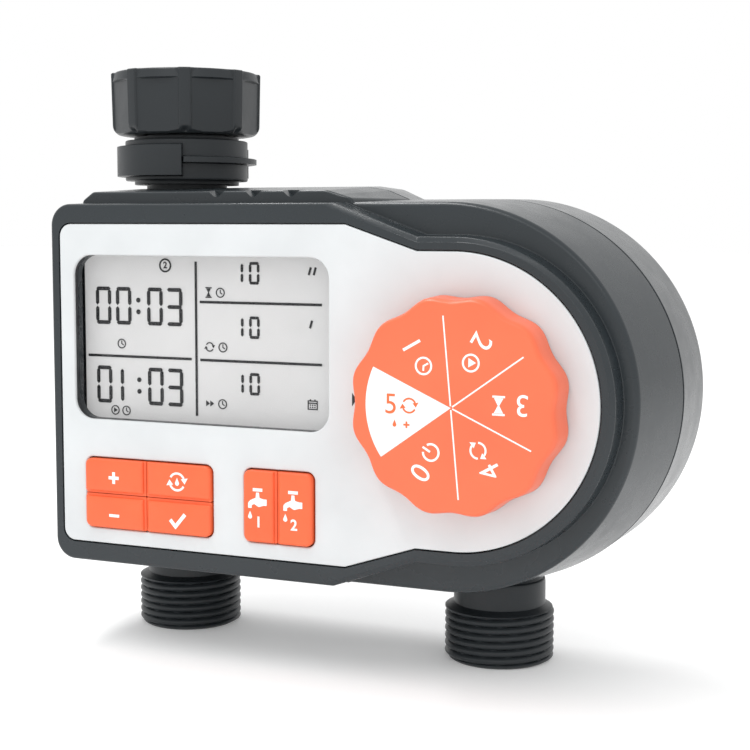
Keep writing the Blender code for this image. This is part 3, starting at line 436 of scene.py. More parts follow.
def revolve(profile, columns, shape=None, sharp=32):
    """Closed ring whose cross-section is the profile."""
    bm = bmesh.new()
    rows = spun(bm, profile, columns, shape)
    skin(bm, rows + rows[:1])
    bmesh.ops.remove_doubles(bm, verts=bm.verts, dist=1e-7)
    return finish_mesh(bm, sharp)


def solid_of_revolution(profile, columns, shape=None, sharp=32):
    """Closed solid whose profile starts and ends on the axis."""
    bm = bmesh.new()
    rows = spun(bm, [(max(r, 1e-6), h) for r, h in profile], columns, shape)
    skin(bm, rows)
    bmesh.ops.remove_doubles(bm, verts=rows[0] + rows[-1], dist=1e-5)
    bmesh.ops.dissolve_degenerate(bm, edges=bm.edges, dist=1e-8)
    return finish_mesh(bm, sharp)


def slab(outlines, y0, y1):
    """Flat outlines, holes included, filled and made thick between two depths."""
    curve = bpy.data.curves.new("outline", "CURVE")
    curve.dimensions = "2D"
    curve.fill_mode = "BOTH"
    curve.extrude = (y1 - y0) / 2
    for outline in outlines:
        spline = curve.splines.new("POLY")
        spline.points.add(len(outline) - 1)
        for point, (x, z) in zip(spline.points, outline):
            point.co = (x, z, 0, 1)
        spline.use_cyclic_u = True
    upright = Matrix.Rotation(math.pi / 2, 4, "X")
    return curve_mesh(curve, Matrix.Translation((0, (y0 + y1) / 2, 0)) @ upright)


def curve_mesh(curve, matrix):
    """The mesh of a curve or text, welded and moved by matrix."""
    guide = bpy.data.objects.new("guide", curve)
    bpy.context.scene.collection.objects.link(guide)
    evaluated = guide.evaluated_get(bpy.context.evaluated_depsgraph_get())
    mesh = bpy.data.meshes.new_from_object(evaluated)
    bpy.data.objects.remove(guide)
    bm = bmesh.new()
    bm.from_mesh(mesh)
    bmesh.ops.remove_doubles(bm, verts=bm.verts, dist=1e-7)
    bmesh.ops.transform(bm, matrix=matrix, verts=bm.verts)
    return finish_mesh(bm)


def cylinder(start, end, radius, sides=64):
    start, end = Vector(start), Vector(end)
    bm = bmesh.new()
    bmesh.ops.create_cone(
        bm, cap_ends=True, segments=sides, radius1=radius, radius2=radius, depth=(end - start).length
    )
    turn = (end - start).to_track_quat("Z", "Y").to_matrix().to_4x4()
    bmesh.ops.transform(bm, matrix=Matrix.Translation((start + end) / 2) @ turn, verts=bm.verts)
    return finish_mesh(bm)


def box_mesh(x0, x1, y0, y1, z0, z1):
    bm = bmesh.new()
    bmesh.ops.create_cube(bm, size=1.0)
    bmesh.ops.scale(bm, vec=(x1 - x0, y1 - y0, z1 - z0), verts=bm.verts)
    bmesh.ops.translate(bm, vec=((x0 + x1) / 2, (y0 + y1) / 2, (z0 + z1) / 2), verts=bm.verts)
    return finish_mesh(bm)


def joined(meshes):
    """Several meshes as one, kept as separate shells."""
    bm = bmesh.new()
    for mesh in meshes:
        bm.from_mesh(mesh)
    return finish_mesh(bm)


def carved(mesh, steps):
    """The mesh after (operation, tool mesh) Boolean steps."""
    scratch = bpy.data.objects.new("scratch", mesh)
    bpy.context.scene.collection.objects.link(scratch)
    tools = []
    for operation, tool in steps:
        cutter = bpy.data.objects.new("tool", tool)
        bpy.context.scene.collection.objects.link(cutter)
        tools.append(cutter)
        modifier = scratch.modifiers.new("carve", "BOOLEAN")
        modifier.operation = operation
        modifier.solver = "EXACT"
        modifier.object = cutter
    evaluated = scratch.evaluated_get(bpy.context.evaluated_depsgraph_get())
    result = bpy.data.meshes.new_from_object(evaluated)
    for obj in tools + [scratch]:
        bpy.data.objects.remove(obj)
    bm = bmesh.new()
    bm.from_mesh(result)
    bmesh.ops.remove_doubles(bm, verts=bm.verts, dist=2e-6)
    bmesh.ops.dissolve_degenerate(bm, edges=bm.edges, dist=1e-6)
    return finish_mesh(bm)


def piece(name, mesh, look, body, replaces=(), place=(0, 0, 0), weighted=False):
    """Puts a mesh drawn in the drawing frame into the scene, riding on a body."""
    mesh.transform(Matrix.Translation(ORIGIN + Vector(place)))
    mesh.materials.clear()
    mesh.materials.append(MATERIALS[look])
    obj = bpy.data.objects.new(name, mesh)
    bpy.context.scene.collection.objects.link(obj)
    if weighted:
        modifier = obj.modifiers.new("even shading", "WEIGHTED_NORMAL")
        modifier.keep_sharp = True
        modifier.weight = 80
    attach(obj, body)
    if replaces:
        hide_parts(*replaces)


# ---------------------------------------------------------------- casing


def pipe_holes():
    """Holes for the inlet through the casing's top and for both outlets through its bottom."""
    pipes = ((INLET_X, 0.040, 0.052, STEM_R), (INLET_X, -0.050, -0.040, UPPER_NECK_R),
             (OUTLETS[1].x, -0.050, -0.040, UPPER_NECK_R))
    return [(CUT, cylinder((x, PIPE_Y, low), (x, PIPE_Y, high), radius + GAP, 96))
            for x, low, high, radius in pipes]


def raised_strip(sections):
    """Raised part of the casing's top. Each section is depth, height, start and end of its slope, inset."""
    base = 0.0425
    outlines = []
    for y, top, slope, end, inset in sections:
        left = STRIP_LEFT + inset
        top = top - inset
        outlines.append((y, rounded([
            (left, base, 0), (left + 0.0008, 0.0448, 0.0010), (left + 0.0036, top, 0.0016),
            (slope - inset, top, 0.0050), ((slope + end) / 2 - inset, top - 0.0009, 0.0060),
            (end - inset, 0.0450, 0.0012), (end + 0.0010 - inset, base, 0),
        ], 7)))
    return loft(outlines)


def strip_section(near, far, y, inset):
    """A strip section between two given ones, at depth y and drawn in by inset."""
    t = (y - near[0]) / (far[0] - near[0])
    return tuple(a + (b - a) * t for a, b in zip(near, far)) + (inset,)


def notch(x):
    """V groove across the strip's front, with a narrow rounded floor."""
    mouth, floor, edge = 0.0036, 0.0005, 0.0005
    high, low = 0.0480, 0.0454
    corners = [(x - mouth, high, 0), (x - floor, low, edge), (x + floor, low, edge), (x + mouth, high, 0)]
    return slab([rounded(corners)], 0.0050, 0.0098)


def lip_cutter():
    """Leaves a lip with a flat edge, a shallow chamfer, a steep wall and a small fillet at its foot."""
    profile = (
        (-0.00020, 0.00180), (0.00002, 0.00195), (0.00010, 0.00212), (0.00038, 0.00296),
        (0.00052, 0.00312), (0.00080, 0.00320), (0.00565, LIP_FOOT), (0.00590, LIP_FOOT + 0.00007),
        (SHOULDER_Y, LIP_FOOT + 0.00030),
    )
    return loft([(y, beyond_lip(reach)) for y, reach in profile])


def shoulder_rounding():
    """What is cut off the shoulder's outer edge to round it."""
    radius, beyond = 0.0012, 0.00002
    core = [(SHOULDER_Y - 0.0010, radius)] + quarter(SHOULDER_Y, radius, 7)
    core = [(y, front_section(y, inset)) for y, inset in core]
    end = SHOULDER_Y + radius
    core += [(end + 0.0010, front_section(end + 0.0010, -beyond))]
    region = slab([beyond_lip(LIP_FOOT + 0.0004)], SHOULDER_Y - 0.0003, end + 0.0004)
    return carved(region, [(CUT, loft(core))])


def build_front_housing():
    seam = last_quarter(SEAM_Y - SEAM_GAP, SEAM_EDGE)
    body = loft([(y, front_section(y, inset)) for y, inset in quarter(0.0, 0.0008, 6) + seam])
    strip = [strip_section(STRIP_FRONT, STRIP_SEAM, y, inset)
             for y, inset in quarter(STRIP_FRONT[0], 0.0006) + seam]
    room, ledge = SHOULDER_Y + WALL, 0.015
    cavity = [(room, 0.0045), (ledge, 0.0045), (ledge + 0.0001, WALL), (SEAM_Y + 0.001, WALL)]
    steps = [(CUT, lip_cutter()), (CUT, shoulder_rounding()), (ADD, raised_strip(strip))]
    steps += [(CUT, notch(x)) for x in NOTCHES]
    steps.append((CUT, loft([(y, front_section(min(y, SEAM_Y), inset)) for y, inset in cavity])))
    steps.append((CUT, slab([keyhole(2 * GAP)], FRONT_WALL_Y, room + GAP)))
    before, behind = 0.001, 0.005             # depths on both sides of the wall behind the faceplate
    for box, corner in OPENINGS:
        grow = 0.0 if box is WINDOW else GAP
        steps.append((CUT, slab([rectangle(box, corner, grow=grow)], before, behind)))
    steps.append((CUT, cylinder((DIAL_X, before, 0), (DIAL_X, behind, 0), 0.0036)))
    pocket = [(y, keyhole(GAP + growth)) for y, growth in flare(0.0, 0.0001, 3)]
    steps.append((CUT, loft(pocket + [(POCKET_Y, keyhole(GAP))])))
    mesh = carved(body, steps + pipe_holes())
    piece("casing_front", mesh, "casing_plastic", "casing", ["front_housing"], weighted=True)


def build_rear_cover():
    seam = quarter(SEAM_Y + SEAM_GAP, SEAM_EDGE)
    front = [(y, front_section(SEAM_Y, inset)) for y, inset in seam]
    back = [(y, rear_section(inset)) for y, inset in last_quarter(BACK_Y, 0.0019, 8)]
    body = loft(front + [(BACK_Y - 0.0020, rear_section())] + back)
    hump = [strip_section(STRIP_SEAM, STRIP_BACK, y, inset)
            for y, inset in seam + last_quarter(STRIP_BACK[0], 0.0010)]
    steps = [(ADD, raised_strip(hump))]
    room = [(SEAM_Y - 0.001, front_section(SEAM_Y, WALL, 0.004)), (BACK_Y - WALL, rear_section(WALL, 0.004))]
    steps.append((CUT, loft(room)))
    hinge_backing = box_mesh(-0.0640, -0.0200, 0.0450, 0.0480, 0.0032, 0.0085)
    steps.append((ADD, hinge_backing))
    for axis in (drawing_centre(f"cover_screw_{number}") for number in SCREWS):
        x, z = axis.x, axis.z
        steps.append((ADD, cylinder((x, SEAM_Y + GAP, z), (x, 0.0484, z), 0.0036, 48)))
        steps.append((CUT, screw_well(x, z)))
    beyond = BACK_Y + 0.0010
    steps.append((CUT, slab([rectangle(DOOR, DOOR_CORNER, grow=-0.0024)], 0.0430, beyond)))
    recess = (DOOR[0] - GAP, DOOR[1] + GAP, 0.0076, DOOR[3] + GAP)
    steps.append((CUT, recess_cutter(recess, DOOR_CORNER, 0.0483)))
    slot = box_mesh(HINGE_X0 - 0.0004, HINGE_X1 + 0.0004, HINGE_Y - 0.0019, beyond, 0.0039, 0.0081)
    steps.append((CUT, slot))
    steps.append((CUT, recess_cutter(LABEL, 0.0020, BACK_Y - 0.0004)))
    mesh = carved(body, steps + pipe_holes())
    piece("casing_rear", mesh, "casing_plastic", "casing", ["rear_cover"], weighted=True)


def screw_well(x, z):
    """Counterbore with a rounded mouth, drawn as a tool along Y."""
    radius, mouth, floor = 0.0026, 0.0005, 0.0440
    rings = [(radius + growth, BACK_Y - y) for y, growth in flare(0.0, mouth)]
    profile = [(0.0, rings[0][1])] + rings + [(radius, floor), (0.0, floor)]
    mesh = solid_of_revolution(profile, 48)
    mesh.transform(Matrix.Translation((x, 0, z)) @ Matrix.Rotation(-math.pi / 2, 4, "X"))
    return mesh


def recess_cutter(box, corner, floor_y):
    """Rounded pocket in the back face."""
    mouth = [(2 * BACK_Y - y, rectangle(box, corner, grow=growth)) for y, growth in flare(BACK_Y, 0.0003)]
    return loft(mouth + [(floor_y, rectangle(box, corner))])


def build_faceplate():
    back, behind = 0.0016, 0.0026
    edge = [(y, keyhole(-inset)) for y, inset in quarter(0.0, 0.00035)]
    body = loft(edge + [(back, keyhole())])
    steps = []
    for box, corner in OPENINGS:
        mouth = [(y, rectangle(box, corner, 10, growth)) for y, growth in flare(0.0, 0.0004)]
        steps.append((CUT, loft(mouth + [(behind, rectangle(box, corner, 10))])))
    steps.append((CUT, cylinder((DIAL_X, -0.001, 0), (DIAL_X, 0.003, 0), 0.0060)))
    window = [rectangle(WINDOW, WINDOW_CORNER, 10, grow) for grow in (0.0020, 0.0019, 0.00002)]
    steps.append((CUT, slab(window[:1], 0.0007, behind)))
    piece("front_plate", carved(body, steps), "white_plastic", "casing", ["faceplate"], weighted=True)
    # Dark liner round the window opening: a dark trim behind the thinned plate, whose dark colour also paints
    # the shade on the window's walls.
    liner_and_shade = slab(window[1:], 0.00075, POCKET_Y - 0.00005)
    piece("window_liner_and_shade", liner_and_shade, "inner_plastic", "casing")
    foot = -0.0241
    pointer = [(foot, 0.0012), (foot + 0.0011, -0.0003), (foot, -0.0019)]
    piece("dial_pointer", slab([pointer], -INK, 0.0002), "black_ink", "casing")


# ---------------------------------------------------------------- printed marks


def stroke(points, width, closed=False):
    """Band of even width along a line of points."""
    places = [Vector(p) for p in points]
    count = len(places)
    left, right = [], []
    for i, place in enumerate(places):
        before = places[i - 1] if i > 0 or closed else None
        after = places[(i + 1) % count] if i < count - 1 or closed else None
        along_in = (place - before).normalized() if before is not None else None
        along_out = (after - place).normalized() if after is not None else None
        along = ((along_in or along_out) + (along_out or along_in)).normalized()
        normal = Vector((-along.y, along.x))
        miter = 1 / max(0.5, along.dot(along_in or along_out))
        left.append(tuple(place + normal * width / 2 * miter))
        right.append(tuple(place - normal * width / 2 * miter))
    if closed:
        return [left, right]
    return [left + right[::-1]]


def shifted(outlines, x, z, angle=0.0):
    """Outlines turned by an angle in degrees, then moved."""
    turn = Matrix.Rotation(math.radians(angle), 2)
    return [[tuple(turn @ Vector(p) + Vector((x, z))) for p in outline] for outline in outlines]


def scaled(outlines, size):
    return [[(x * size, z * size) for x, z in outline] for outline in outlines]


def disc(x, z, radius, steps=24):
    return [arc((x, z), radius, 0, 360 - 360 / steps, steps - 1)]


def circle(radius, width):
    return disc(0, 0, radius, 40) + disc(0, 0, radius - width, 40)


# Each icon is a list of marks, about 2 units across, and each mark a list of outlines.


def clock_icon():
    return [circle(1.0, 0.22), stroke([(0, 0.62), (0, 0), (0.45, -0.28)], 0.2)]


def start_icon():
    return [circle(1.0, 0.22), [[(-0.32, 0.5), (0.55, 0), (-0.32, -0.5)]]]


def hourglass_icon():
    return [stroke([(-0.7, 0.95), (0.7, 0.95)], 0.22), stroke([(-0.7, -0.95), (0.7, -0.95)], 0.22),
            [[(-0.52, 0.80), (0.52, 0.80), (0.08, 0.0), (0.52, -0.80), (-0.52, -0.80), (-0.08, 0.0)]]]


def repeat_icon():
    tail = stroke(arc((0, 0), 0.85, 25, 150, 14), 0.22)
    head = [[(0.45, 0.30), (1.22, 0.42), (0.86, -0.20)]]
    return [shifted(part, 0, 0, turn) for turn in (0, 180) for part in (tail, head)]


def next_icon():
    return [[[(-0.9, 0.6), (-0.05, 0), (-0.9, -0.6)]], [[(0.05, 0.6), (0.9, 0), (0.05, -0.6)]]]


def off_icon():
    return [stroke(arc((0, 0), 0.9, 60, -240, 30), 0.24), stroke([(0, 1.1), (0, 0.1)], 0.24)]


def drop_icon():
    return [[[(0, 1)] + arc((0, -0.25), 0.5, 20, -200, 16)]]


def plus_icon():
    a, b = 0.9, 0.25
    return [[[(-a, b), (-b, b), (-b, a), (b, a), (b, b), (a, b),
              (a, -b), (b, -b), (b, -a), (-b, -a), (-b, -b), (-a, -b)]]]


def minus_icon():
    return [[[(-0.9, 0.22), (0.9, 0.22), (0.9, -0.22), (-0.9, -0.22)]]]


def tick_icon():
    return [stroke([(-0.9, 0.05), (-0.25, -0.65), (0.95, 0.75)], 0.42)]


def ticks_icon(count):
    """Slanted dashes that stand for minutes or seconds."""
    return [stroke([(i * 0.7 - 0.2, -0.1), (i * 0.7 + 0.1, 0.9)], 0.3) for i in range(count)]


def calendar_icon():
    marks = [stroke([(-0.9, -0.8), (0.9, -0.8), (0.9, 0.7), (-0.9, 0.7)], 0.2, True)]
    marks.append(stroke([(-0.9, 0.3), (0.9, 0.3)], 0.2))
    marks += [stroke([(x, 0.6), (x, 1.0)], 0.22) for x in (-0.45, 0.45)]
    marks += [disc(x, z, 0.13, 10) for x in (-0.45, 0.0, 0.45) for z in (-0.05, -0.45)]
    return marks


def tap_icon():
    """A garden tap in profile with a falling drop."""
    body = rounded([
        (-0.75, 0.20, 0.2), (-0.2, 0.45, 0.1), (-0.15, 0.95, 0), (0.15, 0.95, 0), (0.2, 0.45, 0.1),
        (0.62, 0.35, 0.1), (0.95, 0.35, 0.06), (0.95, -0.25, 0.06), (0.62, -0.25, 0.1),
        (0.1, -0.42, 0.3), (-0.35, -0.15, 0.1), (-0.62, -0.28, 0.1), (-0.62, -0.55, 0.02),
        (-1.0, -0.55, 0.02), (-1.0, -0.05, 0.25)], 3)
    handle = [[(-0.5, 1.35), (0.5, 1.35), (0.5, 1.05), (-0.5, 1.05)]]
    return [[body], handle, shifted(scaled(drop_icon()[0], 0.42), -0.8, -1.25)]


def marks_mesh(marks, y0, y1):
    """Icon marks, already in place, as one mesh of thin slabs."""
    return joined([slab(outlines, y0, y1) for outlines in marks])


def placed(icon, x, z, size, angle=0.0):
    """An icon's marks scaled so that one unit is size, turned and moved."""
    return [shifted(scaled(outlines, size), x, z, angle) for outlines in icon]


def digit_mesh(text, height, x, z, angle, y0, y1, bold=0.0):
    """Digits from Blender's built-in font, centred on a point."""
    curve = bpy.data.curves.new("digit", "FONT")
    curve.body = text
    curve.size = height / DIGIT_HEIGHT
    curve.align_x = "CENTER"
    curve.align_y = "CENTER"
    curve.offset = bold
    curve.extrude = (y1 - y0) / 2
    turn = Matrix.Rotation(-math.radians(angle), 4, "Y")
    upright = Matrix.Rotation(math.pi / 2, 4, "X")
    return curve_mesh(curve, Matrix.Translation((x, (y0 + y1) / 2, z)) @ turn @ upright)


# ---------------------------------------------------------------- display

SEGMENTS = {"0": "abcdef", "1": "bc", "3": "abgcd"}


def seven_segments(character, x, z, width, height, thick):
    """Bars of one seven-segment digit whose lower left corner is (x, z)."""
    gap, half = thick * 0.16, thick / 2

    def level(at):
        x0, x1 = x + gap, x + width - gap
        return [(x0 + half, at + half), (x1 - half, at + half), (x1, at),
                (x1 - half, at - half), (x0 + half, at - half), (x0, at)]

    def upright(at, z0, z1):
        return [(at, z1 - half), (at + half, z1), (at + thick, z1 - half),
                (at + thick, z0 + half), (at + half, z0), (at, z0 + half)]

    right = x + width - thick
    low, mid, high = z + half, z + height / 2, z + height - half
    bars = {
        "a": level(high), "g": level(mid), "d": level(low),
        "b": upright(right, mid + gap, high - gap), "c": upright(right, low + gap, mid - gap),
        "f": upright(x, mid + gap, high - gap), "e": upright(x, low + gap, mid - gap),
    }
    return [[bars[name]] for name in SEGMENTS[character]]


def clock_digits(text, z):
    """Large four-digit time with a colon, its lower edge at height z."""
    height, one_shift = 0.0092, 0.0024
    marks = []
    for character, x in zip(text, (-0.0960, -0.0902, -0.0813, -0.0758)):
        left = x - one_shift if character == "1" else x
        marks += seven_segments(character, left, z, 0.0044, height, 0.00092)
    return marks + [disc(-0.0838, z + height * t, 0.00060) for t in (0.35, 0.66)]


def small_digits(text, z):
    marks = []
    for character, x in zip(text, (-0.0576, -0.0533)):
        marks += seven_segments(character, x, z, 0.0028, 0.0053, 0.00068)
    return marks


def display_lines():
    rules = [
        (-0.0984, -0.0690, 0.0067, 0.0067), (-0.06765, -0.06765, -0.0070, 0.0301),
        (-0.0666, -0.0343, 0.0205, 0.0205), (-0.0666, -0.0343, 0.0066, 0.0066),
    ]
    return [stroke([(x0, z0), (x1, z1)], 0.00062) for x0, x1, z0, z1 in rules]


def display_icons():
    """Icons in place of words: one for the clock, pairs beside each setting, and the units."""
    small, units = 0.0012, 0.0018
    icons = (
        (clock_icon(), -0.0887, 0.0098, small),
        (start_icon(), -0.0908, -0.0067, small), (clock_icon(), -0.0876, -0.0067, small),
        (hourglass_icon(), -0.0642, 0.0228, small), (clock_icon(), -0.0610, 0.0228, small),
        (repeat_icon(), -0.0640, 0.0098, small), (clock_icon(), -0.0604, 0.0098, small),
        (next_icon(), -0.0640, -0.0038, small), (clock_icon(), -0.0606, -0.0038, small),
        (ticks_icon(2), -0.0373, 0.0275, units), (ticks_icon(1), -0.0370, 0.0152, units),
        (calendar_icon(), -0.0367, -0.0028, 0.0013),
    )
    marks = [mark for icon in icons for mark in placed(*icon)]
    return marks + [shifted(circle(0.00170, 0.00042), *ROUND_MARK)]


def build_display():
    low, high = drawing_box("lcd_module")
    outline = (low.x, high.x, low.z, high.z)
    edge = [(y, rectangle(outline, 0.0010, 6, -inset)) for y, inset in quarter(low.y, 0.0003)]
    panel = loft(edge + [(high.y, rectangle(outline, 0.0010, 6))])
    # The display panel glows with painted light from the emission in its material.
    piece("glowing_display_panel", panel, "display_face", "casing", ["lcd_module"])
    marks = clock_digits("0003", 0.0145) + clock_digits("0103", -0.0050)
    for z in (0.0249, 0.0121, -0.0013):
        marks += small_digits("10", z)
    y0, y1 = FACE_Y - 0.0001, FACE_Y - 0.00002
    mesh = marks_mesh(marks + display_lines() + display_icons(), y0, y1)
    number = digit_mesh("2", 0.0016, *ROUND_MARK, 0, y0, y1, 0.00006)
    piece("display_segments", joined([mesh, number]), "segment", "casing")
    low, high = drawing_box("lcd_window")
    outline = (low.x, high.x, low.z, high.z)
    edges = quarter(low.y, 0.0003) + last_quarter(high.y, 0.0003)
    window = loft([(y, rectangle(outline, 0.003, 10, -inset)) for y, inset in edges])
    piece("display_window", window, "window_glass", "casing", ["lcd_window"])


# ---------------------------------------------------------------- keys


def build_key(name, box, pad, body, icon):
    """Soft key: crowned top, rounded edges, and a skirt that closes the slit between neighbours."""
    x0, x1, z0, z1 = box
    slit, seam, rim, edge = 0.00062, 0.00008, 0.00030, 0.0007
    groove = KEY_FRONT_Y + 0.0010
    left, right, bottom, top = (a == b for a, b in zip(box, pad))     # edges on the pad's rim
    corners = ((right, top), (right, bottom), (left, bottom), (left, top))
    radii = [PAD_CORNER if all(corner) else 0.0005 for corner in corners]

    def outline(inner, shrink=0.0):
        """The key's outline, inner away from each neighbour and rim away from the pad's rim."""
        insets = [(rim if outer else inner) + shrink for outer in (left, right, bottom, top)]
        inside = (x0 + insets[0], x1 - insets[1], z0 + insets[2], z1 - insets[3])
        return rectangle(inside, tuple(max(r - rim - shrink, 0.0003) for r in radii), 8)

    sections = [(y, outline(slit, inset)) for y, inset in quarter(KEY_FRONT_Y + KEY_CROWN, edge, 7)]
    sections += [(groove - 0.0001, outline(slit * 0.8)), (groove, outline(seam)), (KEY_BACK_Y, outline(seam))]
    centre = ((x0 + x1) / 2, (z0 + z1) / 2)
    piece(name + "_cap", crowned(sections, centre, KEY_CROWN), "orange_rubber", body, [name])
    piece(name + "_mark", icon(*centre), "white_ink", body)


def crowned(sections, centre, crown, rings=6):
    """Loft whose front cap is a shallow dome instead of one flat face."""
    bm = bmesh.new()
    rows = [[bm.verts.new((x, y, z)) for x, z in outline] for y, outline in sections]
    front_y, front = sections[0]
    for ring in range(1, rings):
        t = 1 - ring / rings
        y = front_y - crown * (1 - t * t)
        points = [(centre[0] + (x - centre[0]) * t, centre[1] + (z - centre[1]) * t) for x, z in front]
        rows.insert(0, [bm.verts.new((x, y, z)) for x, z in points])
    skin(bm, rows)
    tip = bm.verts.new((centre[0], front_y - crown, centre[1]))
    for i in range(len(front)):
        bm.faces.new((rows[0][i], rows[0][(i + 1) % len(front)], tip))
    bm.faces.new(reversed(rows[-1]))
    return finish_mesh(bm, 40)


# Each key mark is a function of the key's centre that returns a mesh.


def simple_mark(icon, size, dz):
    return lambda x, z: marks_mesh(placed(icon, x, z + dz, size), *KEY_PRINT)


def cycle_mark(x, z):
    marks = placed(repeat_icon(), x, z, 0.0024) + placed(drop_icon(), x, z - 0.0001, 0.0011)
    return marks_mesh(marks, *KEY_PRINT)


def tap_mark(number):
    def marks(x, z):
        tap = marks_mesh(placed(tap_icon(), x - 0.0002, z + 0.0010, 0.0025), *KEY_PRINT)
        return joined([tap, digit_mesh(number, 0.0026, x, z - 0.0037, 0, *KEY_PRINT, 0.00008)])

    return marks


def build_keys():
    split_x, split_z = KEY_SPLIT_4
    x0, x1, z0, z1 = PAD_4
    left, right, low, high = PAD_2
    keys = (
        ("plus", (x0, split_x, split_z, z1), PAD_4, simple_mark(plus_icon(), 0.0016, -0.0003)),
        ("minus", (x0, split_x, z0, split_z), PAD_4, simple_mark(minus_icon(), 0.0016, -0.0008)),
        ("cycle", (split_x, x1, split_z, z1), PAD_4, cycle_mark),
        ("confirm", (split_x, x1, z0, split_z), PAD_4, simple_mark(tick_icon(), 0.0022, -0.0006)),
        ("tap_1", (left, KEY_SPLIT_2, low, high), PAD_2, tap_mark("1")),
        ("tap_2", (KEY_SPLIT_2, right, low, high), PAD_2, tap_mark("2")),
    )
    for name, box, pad, icon in keys:
        build_key(f"key_{name}", box, pad, f"{name}_key", icon)


# ---------------------------------------------------------------- dial


def dial_shape(radius, height, angle):
    """Soft lobes that fade out towards the axis."""
    share = min(1.0, max(0.0, (radius - 0.0185) / 0.003))
    return radius - DIAL_WAVE * share * math.cos(DIAL_LOBES * angle), height


def build_dial():
    base = -0.0004
    depth = base - DIAL_FRONT_Y
    rim = ((0.0224, 0.0), (0.0227, 0.00004), (0.0229, 0.00016), (0.0231, 0.00042), (0.0233, 0.00085))
    profile = [(0, depth), (0.0100, depth), (0.0180, depth)] + [(r, depth - y) for r, y in rim]
    side = depth - 0.0015
    spread = DIAL_BACK_R - DIAL_SIDE_R
    profile += [(DIAL_SIDE_R + spread * t, side * (1 - t)) for t in (0, 0.25, 0.5, 0.75, 0.97)]
    profile += [(DIAL_BACK_R - 0.0001, 0.00005), (DIAL_BACK_R - 0.0004, 0.0)]
    profile += [(0.0200, 0.0), (0.0150, 0.0), (0, 0.0)]
    mesh = solid_of_revolution(profile, 288, dial_shape, 40)
    mesh.transform(Matrix.Translation((DIAL_X, base, 0)) @ Matrix.Rotation(math.pi / 2, 4, "X"))
    piece("selector_dial", mesh, "orange_plastic", "dial", ["dial_knob"], weighted=True)
    build_dial_print()


def radial(angle, near, far, width):
    """Line from near to far along a direction in degrees."""
    x, z = math.cos(math.radians(angle)), math.sin(math.radians(angle))
    return stroke([(near * x, near * z), (far * x, far * z)], width)


def build_dial_print():
    y0, y1 = DIAL_FRONT_Y - INK, DIAL_FRONT_Y + 0.0002
    lines = [radial(FIRST_LINE - SECTOR * k, 0.0004, DIAL_MARK_R, 0.00032) for k in range(4)]
    lines.append([[(0, 0)] + arc((0, 0), DIAL_MARK_R, FIRST_LINE + SECTOR, FIRST_LINE + 2 * SECTOR, 24)])
    lines = [shifted(line, DIAL_X, 0) for line in lines]
    piece("dial_scale", marks_mesh(lines, y0, y1), "white_ink", "dial")
    icons = (clock_icon(), start_icon(), hourglass_icon(), repeat_icon(), off_icon())
    centre = FIRST_LINE + SECTOR / 2
    white = []
    for number, icon in enumerate(icons, 1):
        white += dial_group(str(number % 5), icon, centre - SECTOR * (number - 1), y0, y1)
    piece("dial_numbers", joined(white), "white_ink", "dial")
    low = y0 - INK
    reach, place = 0.0118, math.radians(centre + SECTOR)
    x, z = DIAL_X + reach * math.cos(place), reach * math.sin(place)
    marks = placed(repeat_icon(), x + 0.0022, z + 0.0012, 0.0018)
    marks += placed(drop_icon(), x - 0.0012, z - 0.0029, 0.0009)
    marks += placed(plus_icon(), x + 0.0016, z - 0.0030, 0.0008)
    digit = digit_mesh("5", 0.0046, x - 0.0021, z + 0.0012, 0, low, y1)
    piece("dial_auto_mark", joined([digit, marks_mesh(marks, low, y1)]), "orange_ink", "dial")


def dial_group(text, icon, angle, y0, y1):
    """A number and its icon in one sector, both turned as they read at the pointer."""
    turn = angle - UPRIGHT
    radians = math.radians(angle)
    outward = Vector((math.cos(radians), math.sin(radians)))
    centre = Vector((DIAL_X, 0)) + outward * 0.0130
    digit = centre + outward * 0.0030
    mark = centre - outward * 0.0022
    return [
        digit_mesh(text, 0.0048, digit.x, digit.y, turn, y0, y1),
        marks_mesh(placed(icon, mark.x, mark.y, 0.0020, turn), y0, y1),
    ]


# ---------------------------------------------------------------- water fittings


def smooth_step(value, low, high):
    t = min(1.0, max(0.0, (value - low) / (high - low)))
    return t * t * (3 - 2 * t)


def thread_wave(height, angle):
    """Right-hand thread with round crests and narrow roots, 0 at the root and 1 at the crest."""
    phase = (height / THREAD_PITCH - angle / (2 * math.pi)) % 1.0
    tooth = 1 - abs(2 * phase - 1)
    return (1 - (1 - tooth) ** 2) ** 0.6


def outlet_rings(top, bottom):
    """Outer surface from neck to chamfered end, then back up the bore."""
    shoulder, thread_top = -0.0457, bottom + THREAD_TOP
    rings = [(UPPER_NECK_R, top), (UPPER_NECK_R, shoulder + 0.0001), (UPPER_NECK_R + 0.00015, shoulder)]
    rings += [(NECK_R - 0.0002 + 0.0002 * t, shoulder - 0.0001 - 0.0010 * t * t) for t in (0, 0.4, 0.7, 1.0)]
    rings += [(NECK_R, shoulder - 0.0030), (NECK_R, thread_top + 0.0006)]
    count = THREAD_TURNS * 14
    rings += [(THREAD_R, thread_top - THREAD_TOP * i / count) for i in range(count + 1)]
    bore = 0.0085
    rings += [(THREAD_R - 0.0018, bottom), (bore + 0.0006, bottom), (bore + 0.0002, bottom + 0.0002)]
    return rings + [(bore, height) for height in (bottom + 0.0006, -0.0560, -0.0500, top)]


